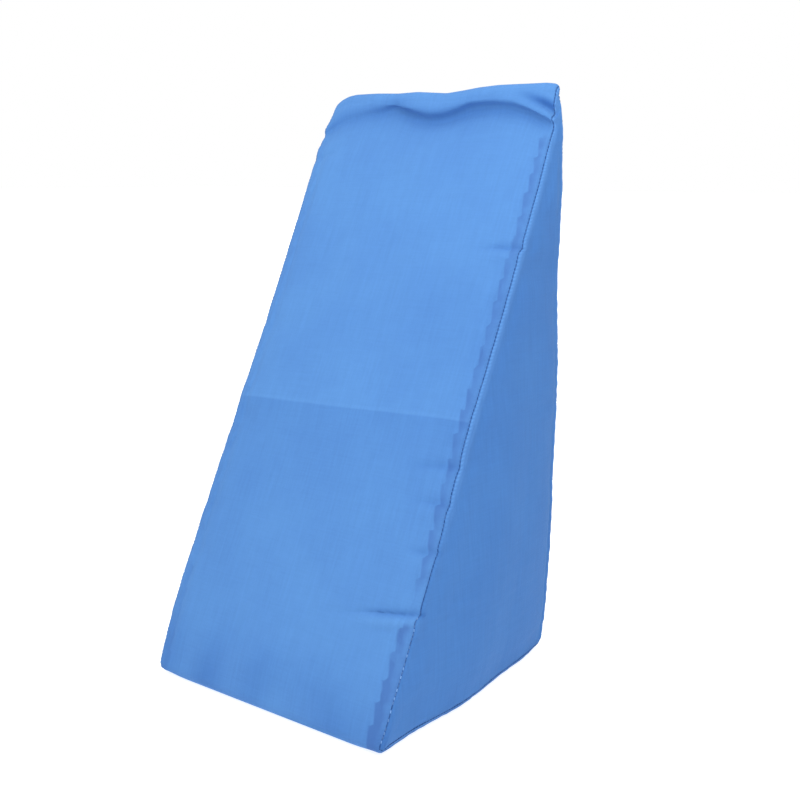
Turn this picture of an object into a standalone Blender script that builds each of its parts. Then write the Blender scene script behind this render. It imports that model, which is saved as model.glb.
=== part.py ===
"""Positioning cushion: a right-triangular wedge in a sewn cloth cover, stood on its thick end.

Frame: metres, +Z up. The slope faces -Y, the flat back faces +Y and the width runs along X.
The cover is three pieces of cloth. One wrap goes up the slope, over the tip, down the back and
under the base, and is modelled with the filling as one solid. A triangular panel closes each side.

Every section of the wedge is the same closed loop of rows, so the loop is worked out once and
swept across the width, and the panels use the same rows.
"""

import math

import bmesh
import bpy
import numpy as np
from mathutils import Matrix, Vector

MM = 0.001

# Wedge, in millimetres
HEIGHT = 500.0
DEPTH = 259.0
FOOT_RADIUS = 8.0
HEEL_RADIUS = 10.0
SLOPE = math.hypot(HEIGHT, DEPTH)

# Side edges: rounded, with the seam half way round
EDGE_RADIUS = 6.0
TIP_EDGE_RADIUS = 2.8
TIP_EDGE_FROM = 430.0
TIP_EDGE_TO = 470.0
SEAM_ANGLE = 45.0
PANEL_THICK = 1.6
PANEL_GAP = 0.35

# Crown of each face
SLOPE_CROWN = 3.0
SIDE_CROWN = 2.5
CROWN_RISE = 0.3
BASE_BULGE_RISE = 0.7
BACK_DRAW = 2.5
BACK_FLAT_SHARE = 0.62
BASE_DRAW = 1.0
BASE_FLAT_SHARE = 0.72

# Allowance turned in along the slope's side seams
ALLOWANCE_RAISE = 0.8
ALLOWANCE_FROM = 30.0
ALLOWANCE_TO = 505.0

# Columns across the width, as distances in from the start of each rounded edge
EDGE_COLUMNS = (0.0, 2.0, 8.0, 10.5)
MIDDLE_COLUMNS = 15
ARC_STEPS = 2
EDGE_STEPS = 2
DEPTH_STEPS = 10

# Rows up the slope, as distances from the foot
SLOPE_ROWS = (
    30, 52, 74, 90, 98, 106, 114, 130, 150, 170, 180, 190, 208, 230, 248, 256, 262, 268,
    282, 304, 330, 356, 380, 396, 404, 412, 430, 455, 480, 500, 514, 523, 529, 533.5, 538, 542, 545.5,
)

# Tip as (distance in front of the back face, height, share of the lip)
TIP = (
    (5.4, 491.5, 1.00),
    (5.0, 494.0, 0.95),
    (4.5, 496.2, 0.85),
    (3.8, 498.0, 0.70),
    (3.0, 499.4, 0.52),
    (2.0, 500.0, 0.33),
    (1.2, 499.5, 0.18),
    (0.7, 498.2, 0.08),
    (0.3, 496.3, 0.02),
    (0.1, 494.0, 0.00),
    (0.0, 491.5, 0.00),
)

# How far the tip sinks across the width: (across, drop)
TIP_DROP = (
    (-126, 16.0),
    (-118, 10.0),
    (-112, 6.0),
    (-104, 3.0),
    (-95, 1.8),
    (-70, 2.0),
    (-46, 3.0),
    (-24, 2.3),
    (8, 4.5),
    (25, 2.8),
    (41, 1.0),
    (61, 0.0),
    (108, 0.0),
    (116, 1.0),
    (122, 4.0),
    (126, 7.0),
)
DROP_FROM = 440.0

# Half width along the slope's edges: (distance up the slope, right, left)
SLOPE_EDGE = (
    (0, 122.4, 118.0),
    (25, 124.4, 121.5),
    (60, 125.0, 124.5),
    (87, 125.4, 125.2),
    (107, 125.8, 125.3),
    (149, 126.4, 125.0),
    (245, 124.6, 124.4),
    (337, 125.4, 124.6),
    (469, 125.8, 126.4),
    (500, 124.8, 126.8),
    (515, 124.2, 126.8),
    (529, 123.2, 126.0),
    (542, 121.6, 124.6),
    (556, 120.0, 119.5),
)
# Half width along the base's edges: (depth, right, left)
BASE_EDGE = (
    (-124, 122.4, 118.0),
    (-83, 124.0, 124.0),
    (-50, 129.0, 127.0),
    (-20, 132.2, 129.0),
    (10, 132.0, 129.5),
    (50, 125.6, 128.5),
    (75, 123.6, 126.5),
    (100, 124.0, 124.6),
    (126, 120.5, 120.0),
)
# Half width along the back's edges: (height, right, left)
BACK_EDGE = (
    (0, 120.5, 120.0),
    (17, 121.6, 122.0),
    (44, 124.2, 124.6),
    (91, 126.2, 125.8),
    (125, 127.4, 126.4),
    (158, 127.2, 126.8),
    (229, 128.6, 128.0),
    (274, 128.2, 127.2),
    (318, 126.0, 126.0),
    (344, 125.6, 125.4),
    (403, 127.2, 125.6),
    (437, 126.4, 125.2),
    (461, 125.0, 124.0),
    (477, 123.4, 122.6),
    (485, 122.2, 121.4),
    (492, 120.0, 119.5),
)

# Trough under the lip: (across, distance up the slope, lip depth, trough depth)
TROUGH = (
    (-126, 525.0, 5.0, 1.0),
    (-104, 534.0, 6.5, 1.5),
    (-78, 538.5, 7.0, 1.5),
    (-52, 544.0, 6.0, 2.0),
    (-43, 547.0, 5.5, 2.0),
    (-34, 542.0, 7.0, 2.5),
    (-19, 536.0, 8.0, 3.0),
    (-3, 533.0, 8.5, 3.0),
    (17, 535.0, 8.5, 3.0),
    (37, 541.0, 8.0, 3.0),
    (60, 541.0, 8.0, 3.0),
    (81, 539.0, 7.5, 3.0),
    (96, 535.0, 7.0, 3.0),
    (111, 528.0, 6.0, 2.5),
    (126, 523.0, 5.0, 1.5),
)
TROUGH_ROW = 533.5
TROUGH_REACH = (475.0, 560.0)
LIP_RISE = 8.0
TROUGH_HALF = 6.0

# Crease across the middle of the slope: (across, distance up the slope)
CREASE = ((-126, 256.5), (-54, 258.0), (14, 260.0), (75, 263.0), (126, 265.0))
CREASE_ROW = 262.0
CREASE_REACH = (208.0, 330.0)
CREASE_HEIGHT = 1.4
CREASE_HALF = 9.0

# Puckers drawn in from the side seams:
# (start across, start up, end across, end up, half width of the fold, height off the cloth)
PUCKERS = (
    (48, 89, 127, 107, 6.0, -2.4),
    (60, 80, 127, 96, 7.0, 1.4),
    (85, 174, 127, 188, 6.0, -1.2),
    (89, 405, 127, 408, 5.0, -1.2),
    (88, 552, 127, 533, 4.0, -2.2),
    (14, 330, 34, 262, 4.0, -0.7),
    (-88, 500, -127, 492, 5.0, -1.6),
    (-60, 22, 60, 6, 12.0, -1.4),
    (-127, 330, -92, 322, 6.0, -0.8),
)
PUCKER_FADE = 0.3

CLOTH_COLOUR = (0.098, 0.271, 0.680, 1.0)
PANEL_COLOUR = (0.086, 0.245, 0.640, 1.0)
CLOTH_ROUGHNESS = 0.85


def smooth_step(value):
    """0 below 0, 1 above 1 and a smooth rise between."""
    value = np.clip(value, 0.0, 1.0)
    return value * value * (3.0 - 2.0 * value)


def table_column(table, at, column):
    """One column of a table, read between its rows."""
    rows = np.array(table, dtype=float)
    return np.interp(at, rows[:, 0], rows[:, column])


def round_corner(corner, towards_first, towards_last, radius, steps):
    """Points of an arc that rounds a corner, from one straight side to the other."""
    first = np.array(towards_first, dtype=float)
    last = np.array(towards_last, dtype=float)
    half = 0.5 * math.acos(float(first @ last))
    reach = radius / math.tan(half)
    middle = (first + last) / np.linalg.norm(first + last)
    centre = np.array(corner, dtype=float) + middle * radius / math.sin(half)
    start = np.array(corner, dtype=float) + first * reach - centre
    end = np.array(corner, dtype=float) + last * reach - centre
    turn = math.atan2(start[0] * end[1] - start[1] * end[0], float(start @ end))
    points = []
    for step in range(steps + 1):
        angle = turn * step / steps
        cosine, sine = math.cos(angle), math.sin(angle)
        points.append(centre + (cosine * start[0] - sine * start[1], sine * start[0] + cosine * start[1]))
    return np.array(points)


def build_section():
    """The wedge's section, as four runs of (depth, height) and the distance along each."""
    half_depth = DEPTH / 2.0
    up_slope = np.array((DEPTH, HEIGHT)) / SLOPE
    foot = round_corner((-half_depth, 0.0), (1.0, 0.0), up_slope, FOOT_RADIUS, 2 * ARC_STEPS)
    heel = round_corner((half_depth, 0.0), (-1.0, 0.0), (0.0, 1.0), HEEL_RADIUS, 2 * ARC_STEPS)
    tip = np.array(TIP)[:, :2] * (-1.0, 1.0) + (half_depth, 0.0)

    slope_rows = np.array(SLOPE_ROWS, dtype=float)
    slope = np.array((-half_depth, 0.0)) + slope_rows[:, None] * up_slope
    front = np.concatenate([foot[ARC_STEPS:], slope, tip[:1]])

    base_inner = np.linspace(foot[0, 0], heel[0, 0], DEPTH_STEPS - 2 * ARC_STEPS + 1)
    base = np.stack([base_inner, np.zeros_like(base_inner)], axis=1)
    base = np.concatenate([foot[ARC_STEPS:0:-1], base, heel[1 : ARC_STEPS + 1]])

    level = front[ARC_STEPS:, 1].copy()
    level[0] = heel[-1, 1]
    level[-1] = tip[-1, 1]
    straight = np.stack([np.full_like(level, half_depth), level], axis=1)
    back = np.concatenate([heel[ARC_STEPS:-1], straight])
    return front, back, base, tip


FRONT, BACK, BASE, TIP_RUN = build_section()
FOOT = np.array((-DEPTH / 2.0, 0.0))
NJ = len(FRONT) - 1
NI = len(BASE) - 1
ON_BASE, ON_BACK, ON_TIP, ON_SLOPE = 0, 1, 2, 3
RIGHT, LEFT = 1, 2


def build_loop():
    """The section as one closed loop, base, back, tip, slope, and the face each row lies on."""
    points = np.concatenate([BASE[:-1], BACK[:-1], TIP_RUN[:0:-1], FRONT[:0:-1]])
    face = np.concatenate(
        [np.full(NI, ON_BASE), np.full(NJ, ON_BACK), np.full(NI, ON_TIP), np.full(NJ, ON_SLOPE)]
    )
    return points, face


def loop_normals(points):
    """The outward normal at every row of a closed loop."""
    before = points - np.roll(points, 1, axis=0)
    after = np.roll(points, -1, axis=0) - points
    before /= np.linalg.norm(before, axis=1)[:, None]
    after /= np.linalg.norm(after, axis=1)[:, None]
    along = before + after
    along /= np.linalg.norm(along, axis=1)[:, None]
    return np.stack([along[:, 1], -along[:, 0]], axis=1)


LOOP, LOOP_FACE = build_loop()
UP_SLOPE = np.array((DEPTH, HEIGHT)) / SLOPE
LOOP_UP = (LOOP - FOOT) @ UP_SLOPE


def tip_drop(across):
    """How far the tip sinks below its full height."""
    return table_column(TIP_DROP, across, 1)


def half_widths(side):
    """Half width at every row of the loop, for the right side (1) or the left side (2)."""
    wide = table_column(SLOPE_EDGE, LOOP_UP, side)
    wide = np.where(LOOP_FACE == ON_BASE, table_column(BASE_EDGE, LOOP[:, 0], side), wide)
    return np.where(LOOP_FACE == ON_BACK, table_column(BACK_EDGE, LOOP[:, 1], side), wide)


def edge_radii():
    """Radius of the side edges at every row, less near the thin tip."""
    share = smooth_step((LOOP[:, 1] - TIP_EDGE_FROM) / (TIP_EDGE_TO - TIP_EDGE_FROM))
    return EDGE_RADIUS + (TIP_EDGE_RADIUS - EDGE_RADIUS) * share


def fold_height(across, up, fold):
    """Height of one fold: a soft trough or ridge along a straight line, fading out at its inner end."""
    start = np.array(fold[0:2], dtype=float)
    line = np.array(fold[2:4], dtype=float) - start
    length = float(np.linalg.norm(line))
    share = ((across - start[0]) * line[0] + (up - start[1]) * line[1]) / length**2
    off = ((across - start[0]) * line[1] - (up - start[1]) * line[0]) / length
    ends = smooth_step(share / PUCKER_FADE) * smooth_step((1.3 - share) / PUCKER_FADE)
    return fold[5] * ends * np.exp(-((off / fold[4]) ** 2))


def slope_moves(across, share, up, fall):
    """How far the cloth stands off the plain wedge, and how far the lip leans forward.

    across is in millimetres, share runs from -1 to 1 over the width, up is the distance up the
    slope and fall is the lip's share at the tip's rows.
    """
    crown = SLOPE_CROWN * (1.0 - share**2) * np.sqrt(np.clip(np.sin(np.pi * up / SLOPE), 0.0, 1.0))
    crease_at = table_column(CREASE, across, 1)
    crease = CREASE_HEIGHT * np.exp(-np.abs((up - crease_at) / CREASE_HALF) ** 1.5)
    trough_at = table_column(TROUGH, across, 1)
    trough = -table_column(TROUGH, across, 3) * np.exp(-(((up - trough_at) / TROUGH_HALF) ** 2))
    folds = sum(fold_height(across, up, fold) for fold in PUCKERS)
    lip = table_column(TROUGH, across, 2) * smooth_step((up - trough_at) / LIP_RISE) * fall
    return crown + crease + trough + folds, lip


def warp_rows(across, up):
    """Slide the rows along the slope so that they follow the trough and the crease."""
    to_trough = table_column(TROUGH, across, 1) - TROUGH_ROW
    low, high = TROUGH_REACH
    pull = np.where(up < TROUGH_ROW, (up - low) / (TROUGH_ROW - low), (high - up) / (high - TROUGH_ROW))
    shift = to_trough * smooth_step(pull)
    to_crease = table_column(CREASE, across, 1) - CREASE_ROW
    low, high = CREASE_REACH
    pull = np.where(up < CREASE_ROW, (up - low) / (CREASE_ROW - low), (high - up) / (high - CREASE_ROW))
    return up + shift + to_crease * smooth_step(pull)


SLOPE_LINE = np.concatenate([FRONT, TIP_RUN[1:]])
SLOPE_LINE_AT = np.concatenate(
    [[0.0], np.cumsum(np.linalg.norm(np.diff(SLOPE_LINE, axis=0), axis=1))]
)
FOOT_LENGTH = float(SLOPE_LINE_AT[ARC_STEPS] - (FRONT[ARC_STEPS] - FOOT) @ UP_SLOPE)


def allowance_raise(share, up):
    """The band lifted by the seam's allowance, which lies under the cloth beside each side seam."""
    from_edge = (1.0 - np.abs(share)) * DEPTH / 2.0
    over = smooth_step(from_edge / 2.0) * smooth_step((10.5 - from_edge) / 2.5)
    ends = smooth_step((up - ALLOWANCE_FROM) / 15.0) * smooth_step((ALLOWANCE_TO - up) / 15.0)
    return ALLOWANCE_RAISE * over * ends


def edge_draw(share, flat_share, draw):
    """How far a flat face is drawn in beside its edges."""
    return draw * smooth_step((np.abs(share) - flat_share) / (1.0 - flat_share)) ** 2


def place_ring(across, share, inset):
    """One ring of the swept loop, as a point for every row.

    across, share and inset hold a value for every row.
    """
    points = LOOP.copy()
    slope = LOOP_FACE == ON_SLOPE
    held = LOOP_UP[slope] < SLOPE_ROWS[0]
    line_at = warp_rows(across[slope], LOOP_UP[slope]) + FOOT_LENGTH
    slid = np.stack([np.interp(line_at, SLOPE_LINE_AT, SLOPE_LINE[:, axis]) for axis in (0, 1)], axis=1)
    points[slope] = np.where(held[:, None], points[slope], slid)

    up = (points - FOOT) @ UP_SLOPE
    fall = np.ones(len(points))
    fall[LOOP_FACE == ON_TIP] = np.array(TIP)[:0:-1, 2]
    out, lean = slope_moves(across, share, up, fall)
    out = out + allowance_raise(share, up)
    moved = np.where(slope, out, 0.0)
    moved = np.where(LOOP_FACE == ON_BACK, -edge_draw(share, BACK_FLAT_SHARE, BACK_DRAW), moved)
    moved = np.where(LOOP_FACE == ON_BASE, -edge_draw(share, BASE_FLAT_SHARE, BASE_DRAW), moved)
    lean = np.where(slope | (LOOP_FACE == ON_TIP), lean, 0.0)

    drop = tip_drop(across) * smooth_step((points[:, 1] - DROP_FROM) / (HEIGHT - DROP_FROM))
    leant = points - np.stack([lean, drop], axis=1)
    placed = leant + loop_normals(leant) * (moved - inset)[:, None]
    return np.stack([across, placed[:, 0], placed[:, 1]], axis=1)


def place_edge_ring(side, angle, sunk):
    """One ring on a rounded side edge, at an angle from the face and sunk below the outer cloth."""
    wide = half_widths(side)
    radius = edge_radii()
    inner = radius - sunk
    angle = np.radians(angle) * np.ones(len(LOOP))
    sign = 1.0 if side == RIGHT else -1.0
    across = sign * (wide - radius + inner * np.sin(angle))
    return place_ring(across, np.full(len(LOOP), sign), radius - inner * np.cos(angle))


def place_flat_rings():
    """The rings across the flat of the cloth, from the left rounded edge to the right one."""
    radius = edge_radii()
    left = -(half_widths(LEFT) - radius)
    right = half_widths(RIGHT) - radius
    near = np.array(EDGE_COLUMNS)
    width = 2.0 * (DEPTH / 2.0 - EDGE_RADIUS)
    middle = np.linspace(near[-1], width - near[-1], MIDDLE_COLUMNS + 1)
    columns = np.concatenate([near[:-1], middle, width - near[-2::-1]]) / width
    rings = []
    for column in columns:
        across = left + (right - left) * column
        rings.append(place_ring(across, np.full(len(LOOP), 2.0 * column - 1.0), np.zeros(len(LOOP))))
    return rings


def cap_grid(ring, bulge_sign):
    """A side face filled in row by row between the slope's edge and the back's edge."""
    grid = np.zeros((NI + 1, NJ + 1, 3))
    base_run, back_run = ring[:NI], ring[NI : NI + NJ]
    tip_run, slope_run = ring[NI + NJ : 2 * NI + NJ], ring[2 * NI + NJ :]
    grid[:NI, 0] = base_run
    grid[NI, :NJ] = back_run
    grid[NI:0:-1, NJ] = tip_run
    grid[0, NJ:0:-1] = slope_run

    base_share = (BASE[:, 0] - BASE[0, 0]) / (BASE[-1, 0] - BASE[0, 0])
    even_share = np.linspace(0.0, 1.0, NI + 1)
    high = grid[0, :, 2] / grid[0, -1, 2]
    share = base_share[:, None] * (1.0 - high) + even_share[:, None] * high
    rows = slice(1, NJ)
    inside = share[:, rows, None]
    filled = grid[None, 0, rows] * (1.0 - inside) + grid[None, NI, rows] * inside
    bulge = 4.0 * share * (1.0 - share) * smooth_step(high / CROWN_RISE) * (1.0 - high)
    foot_x, heel_x = grid[0, 0, 0], grid[NI, 0, 0]
    from_base = grid[:, 0, 0] - (foot_x + (heel_x - foot_x) * base_share)
    fade = 1.0 - smooth_step(high / BASE_BULGE_RISE)
    filled[..., 0] += bulge_sign * SIDE_CROWN * bulge[:, rows] + from_base[:, None] * fade[None, rows]
    grid[1:NI, rows] = filled[1:NI]
    return grid


def turned(face):
    """The same four corners the other way round, so that the face still splits along the same diagonal."""
    return (face[0], face[3], face[2], face[1])


def add_rings(bm, rings, flip):
    """Join rings with strips of faces, and give back their vertices."""
    verts = [[bm.verts.new(point * MM) for point in ring] for ring in rings]
    count = len(rings[0])
    for first, second in zip(verts[:-1], verts[1:]):
        for row in range(count):
            after = (row + 1) % count
            face = (first[row], first[after], second[after], second[row])
            bm.faces.new(turned(face) if flip else face)
    return verts


def add_cap(bm, edge, ring, bulge_sign, flip):
    """Fill a ring with a side face. edge holds the ring's own vertices."""
    grid = cap_grid(ring, bulge_sign)
    verts = [[None] * (NJ + 1) for _ in range(NI + 1)]
    for step in range(NI):
        verts[step][0] = edge[step]
        verts[NI - step][NJ] = edge[NI + NJ + step]
    for step in range(NJ):
        verts[NI][step] = edge[NI + step]
        verts[0][NJ - step] = edge[2 * NI + NJ + step]
    for i in range(1, NI):
        for j in range(1, NJ):
            verts[i][j] = bm.verts.new(grid[i, j] * MM)
    for i in range(NI):
        for j in range(NJ):
            face = (verts[i][j], verts[i + 1][j], verts[i + 1][j + 1], verts[i][j + 1])
            bm.faces.new(turned(face) if flip else face)


def cloth_material(name, colour):
    """Matt woven cloth in one colour."""
    material = bpy.data.materials.new(name)
    material.use_nodes = True
    shader = material.node_tree.nodes["Principled BSDF"]
    shader.inputs["Base Color"].default_value = colour
    shader.inputs["Roughness"].default_value = CLOTH_ROUGHNESS
    shader.inputs["Metallic"].default_value = 0.0
    return material


def finish_object(bm, name, colour):
    """Turn the mesh into an object with its own material."""
    bmesh.ops.triangulate(bm, faces=bm.faces[:], quad_method="FIXED")
    mesh = bpy.data.meshes.new(name)
    bm.to_mesh(mesh)
    bm.free()
    obj = bpy.data.objects.new(name, mesh)
    bpy.context.scene.collection.objects.link(obj)
    mesh.materials.append(cloth_material(name + "_cloth", colour))
    return obj


def build_wrap():
    """The wrap with its filling, stepped down under the side panels."""
    sunk = PANEL_THICK + PANEL_GAP
    outer = np.linspace(0.0, SEAM_ANGLE, EDGE_STEPS + 1)[1:]
    inner = np.linspace(SEAM_ANGLE, 90.0, EDGE_STEPS + 1)
    right = [place_edge_ring(RIGHT, angle, 0.0) for angle in outer]
    right += [place_edge_ring(RIGHT, angle, sunk) for angle in inner]
    left = [place_edge_ring(LEFT, angle, 0.0) for angle in outer]
    left += [place_edge_ring(LEFT, angle, sunk) for angle in inner]
    rings = left[::-1] + place_flat_rings() + right
    bm = bmesh.new()
    verts = add_rings(bm, rings, flip=False)
    add_cap(bm, verts[0], rings[0], -1.0, flip=True)
    add_cap(bm, verts[-1], rings[-1], 1.0, flip=False)
    return finish_object(bm, "wrap", CLOTH_COLOUR)


def build_panel(side, name):
    """A side panel: one sheet of cloth, rounded over its edges to the seam."""
    radius = edge_radii()
    start = SEAM_ANGLE + np.degrees(PANEL_GAP / (radius - PANEL_THICK))
    rings = []
    for share in np.linspace(1.0, 0.0, EDGE_STEPS + 1):
        rings.append(place_edge_ring(side, start + (90.0 - start) * share, PANEL_THICK))
    for share in np.linspace(0.0, 1.0, EDGE_STEPS + 1):
        rings.append(place_edge_ring(side, start + (90.0 - start) * share, 0.0))
    sign = 1.0 if side == RIGHT else -1.0
    bm = bmesh.new()
    verts = add_rings(bm, rings, flip=side == LEFT)
    add_cap(bm, verts[0], rings[0], sign, flip=side == RIGHT)
    add_cap(bm, verts[-1], rings[-1], sign, flip=side == LEFT)
    return finish_object(bm, name, PANEL_COLOUR)


def stand_on_origin(objects):
    """Move every piece so that the middle of the underside's box is the origin."""
    points = np.array([vert.co for obj in objects for vert in obj.data.vertices])
    low, high = points.min(axis=0), points.max(axis=0)
    middle = Vector(((low[0] + high[0]) / 2.0, (low[1] + high[1]) / 2.0, low[2]))
    for obj in objects:
        obj.data.transform(Matrix.Translation(-middle))


def main():
    """Clear the scene and build every piece."""
    for obj in list(bpy.data.objects):
        bpy.data.objects.remove(obj)
    pieces = [
        build_wrap(),
        build_panel(RIGHT, "side_panel_right"),
        build_panel(LEFT, "side_panel_left"),
    ]
    stand_on_origin(pieces)


main()
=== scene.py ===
"""Looks of the positioning cushion: a foam wedge in a blue cloth cover, stood on its thick end.

The cover is worked out as one closed surface. A section of the wedge, the loop that runs under the
base, up the back, over the tip and down the slope, is swept across the width as a grid of rows and
columns, and each side is closed by a panel. A cloth simulation lets the cover swell a little, and
the folds, the lip at the tip and the seams are laid on after it.

All lengths in the tables and fields are millimetres unless a name says otherwise.
"""

from __future__ import annotations

import logging
import math
from dataclasses import dataclass, field
from enum import Enum
from itertools import starmap
from typing import NamedTuple

import bpy
import numpy as np
from mathutils import Matrix

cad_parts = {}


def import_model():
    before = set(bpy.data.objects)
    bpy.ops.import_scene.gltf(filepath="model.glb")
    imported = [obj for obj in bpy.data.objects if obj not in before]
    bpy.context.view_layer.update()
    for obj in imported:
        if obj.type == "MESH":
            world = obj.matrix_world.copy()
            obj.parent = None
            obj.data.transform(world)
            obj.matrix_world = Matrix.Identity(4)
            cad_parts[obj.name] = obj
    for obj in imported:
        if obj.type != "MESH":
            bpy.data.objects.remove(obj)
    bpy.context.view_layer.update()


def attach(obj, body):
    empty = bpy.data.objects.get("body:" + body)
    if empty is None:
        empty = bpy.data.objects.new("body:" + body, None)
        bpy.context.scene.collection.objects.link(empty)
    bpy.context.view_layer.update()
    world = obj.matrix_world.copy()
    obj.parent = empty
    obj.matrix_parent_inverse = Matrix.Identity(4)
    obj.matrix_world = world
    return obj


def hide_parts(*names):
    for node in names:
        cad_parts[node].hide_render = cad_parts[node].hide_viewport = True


LOG = logging.getLogger("positioning_cushion")
MM = 0.001
CORNER_MIDDLE = 4  # rows from the middle of a rounded corner to its end
EDGE_EASE, BASE_EASE, TROUGH_EASE, CREASE_EASE, DROP_EASE = 8.0, 14.0, 4.0, 12.0, 3.0


class Face(Enum):
    """The faces that the section's loop runs over."""

    BASE = 0
    BACK = 1
    TIP = 2
    SLOPE = 3


class Side(Enum):
    """The two ends of the width."""

    RIGHT = 1
    LEFT = -1


class EdgeWidth(NamedTuple):
    """Half width of the cushion at one place along an edge."""

    at: float
    right: float
    left: float


class TroughPoint(NamedTuple):
    """One place along the trough that runs under the lip at the tip."""

    across: float
    up: float
    lip: float
    depth: float
    tail: float
    rise: float


class TipPoint(NamedTuple):
    """One place on the rounded tip: how far before the back, how high, and its share of the lip."""

    before_back: float
    high: float
    lip_share: float


class Fold(NamedTuple):
    """A fold along a line on the slope, from its faint end to its strong end."""

    from_across: float
    from_up: float
    to_across: float
    to_up: float
    half: float
    height: float
    crisp: float
    bow: float


TIP = tuple(starmap(TipPoint, (
    (5.4, 491.5, 1.00), (5.0, 494.0, 0.95), (4.5, 496.2, 0.85), (3.8, 498.0, 0.70),
    (3.0, 499.4, 0.52), (2.0, 500.0, 0.33), (1.2, 499.5, 0.18), (0.7, 498.2, 0.08),
    (0.3, 496.3, 0.02), (0.1, 494.0, 0.00), (0.0, 491.5, 0.00),
)))

# How far the tip sinks across the width: (across, drop)
TIP_DROP = (
    (-126, 16.0), (-118, 10.0), (-112, 6.0), (-104, 3.0), (-95, 1.8), (-70, 2.0), (-46, 3.0),
    (-24, 2.3), (8, 4.5), (25, 2.8), (41, 1.0), (61, 0.0), (108, 0.0), (116, 1.0), (122, 4.0),
    (126, 7.0),
)

SLOPE_EDGE = tuple(starmap(EdgeWidth, (
    (0, 122.4, 118.0), (25, 124.4, 121.5), (60, 125.0, 124.5), (87, 125.4, 125.2),
    (107, 125.8, 125.3), (149, 126.4, 125.0), (190, 125.6, 124.6), (215, 125.1, 123.5),
    (245, 124.6, 122.8), (290, 125.0, 123.3), (337, 125.4, 123.6), (400, 125.6, 124.7),
    (469, 125.8, 125.9), (500, 124.8, 126.8), (515, 124.2, 126.8), (529, 123.2, 126.0),
    (542, 121.6, 124.6), (556, 120.0, 119.5),
)))
BASE_EDGE = tuple(starmap(EdgeWidth, (
    (-124, 122.4, 118.0), (-83, 122.4, 124.0), (-50, 126.6, 127.0), (-20, 129.6, 129.0),
    (10, 128.4, 129.5), (36, 126.0, 128.9), (62, 125.4, 127.5), (92, 124.2, 125.1),
    (126, 119.4, 120.0),
)))
BACK_EDGE = tuple(starmap(EdgeWidth, (
    (0, 120.5, 120.0), (17, 121.6, 122.0), (44, 124.2, 124.6), (91, 126.2, 125.8),
    (125, 127.4, 126.4), (158, 127.2, 126.8), (229, 128.6, 128.0), (274, 128.2, 127.2),
    (318, 126.0, 126.0), (344, 125.6, 125.4), (403, 127.2, 125.6), (437, 126.4, 125.2),
    (461, 125.0, 124.0), (477, 123.4, 122.6), (485, 122.2, 121.4), (492, 120.0, 119.5),
)))

TROUGH = tuple(starmap(TroughPoint, (
    (-126, 525.0, 4.5, 1.0, 7.0, 14.0), (-104, 534.0, 5.5, 1.6, 10.0, 18.0),
    (-78, 538.5, 5.5, 2.4, 13.0, 18.0), (-60, 542.0, 5.5, 3.4, 18.0, 14.0),
    (-47, 546.0, 6.0, 3.4, 22.0, 8.0), (-42, 546.5, 6.5, 3.5, 22.0, 7.0),
    (-34, 542.0, 7.0, 4.0, 17.0, 9.0), (-19, 536.0, 8.0, 4.1, 13.0, 14.0),
    (-3, 533.0, 8.5, 4.2, 12.5, 17.0), (17, 535.0, 8.5, 4.1, 14.0, 16.0),
    (37, 541.0, 8.0, 4.2, 20.0, 12.0), (60, 541.0, 8.0, 3.8, 18.0, 12.0),
    (81, 539.0, 7.5, 3.6, 12.0, 12.0), (96, 535.0, 7.0, 3.6, 9.0, 9.0),
    (111, 528.0, 6.0, 3.4, 8.0, 9.0), (126, 523.0, 5.0, 2.4, 7.0, 10.0),
)))
CREASE = ((-126, 256.5), (-54, 258.0), (14, 260.0), (75, 263.0), (126, 265.0))

FOLDS = tuple(starmap(Fold, (
    # pucker drawn in from the right seam, low down
    (66, 102, 125, 112, 2.2, -2.3, 1.2, -1.5),
    (56, 94, 126, 105.5, 4.0, 2.6, 2.0, -2.0),
    # the smaller puckers above it
    (84, 192, 127, 198, 3.4, -1.5, 1.6, 1.0),
    (84, 184, 127, 190, 6.0, 1.0, 2.0, 1.0),
    (78, 408, 127, 414, 2.8, -2.6, 1.6, 0.0),
    (78, 401, 127, 407, 5.0, 1.4, 2.0, 0.0),
    (92, 155, 127, 160, 2.6, -2.0, 1.6, 0.0),
    (70, 218, 127, 228, 4.0, -1.8, 1.8, 1.0),
    # short trough at the lip's right end
    (78, 552, 128, 535, 3.6, -4.8, 1.8, 2.0),
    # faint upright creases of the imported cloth
    (12, 338, 35, 258, 3.0, -0.8, 1.8, 3.0),
    (30, 470, 26, 400, 4.0, -0.4, 2.0, 0.0),
    # hollow over the foot and puckers at the left seam
    (-70, 24, 70, 8, 12.0, -1.2, 2.0, 0.0),
    (-88, 500, -127, 493, 4.0, -1.6, 1.6, 0.0),
    (-96, 522, -127, 512, 4.0, -1.0, 1.6, 0.0),
    (-92, 322, -127, 330, 5.0, -0.7, 1.8, 0.0),
    (-95, 150, -127, 158, 5.0, -0.7, 1.8, 0.0),
    (20, 92, 96, 107, 2.6, -0.9, 1.3, -2.0),
)))

# Places in FOLDS of those that also get painted shade in their hollows and painted highlight on
# their ridges, and how strongly their height paints it
FOLD_PAINTED_SHADE = ((8, 0.11), (0, 0.11), (1, 0.04), (2, 0.07), (4, 0.07), (6, 0.07), (7, 0.07))


def smooth_step(value: np.ndarray) -> np.ndarray:
    """0 below 0, 1 above 1, and 3v^2 - 2v^3 between.

    Args:
        value: The values to ease.

    Returns:
        The eased values.
    """
    held = np.clip(value, 0.0, 1.0)
    return held * held * (3.0 - 2.0 * held)


def bell(off: np.ndarray, reach: float) -> np.ndarray:
    """exp(-(off / reach)^2), which is 1 at 0 and fades to both sides."""
    return np.exp(-((off / reach) ** 2))


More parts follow.
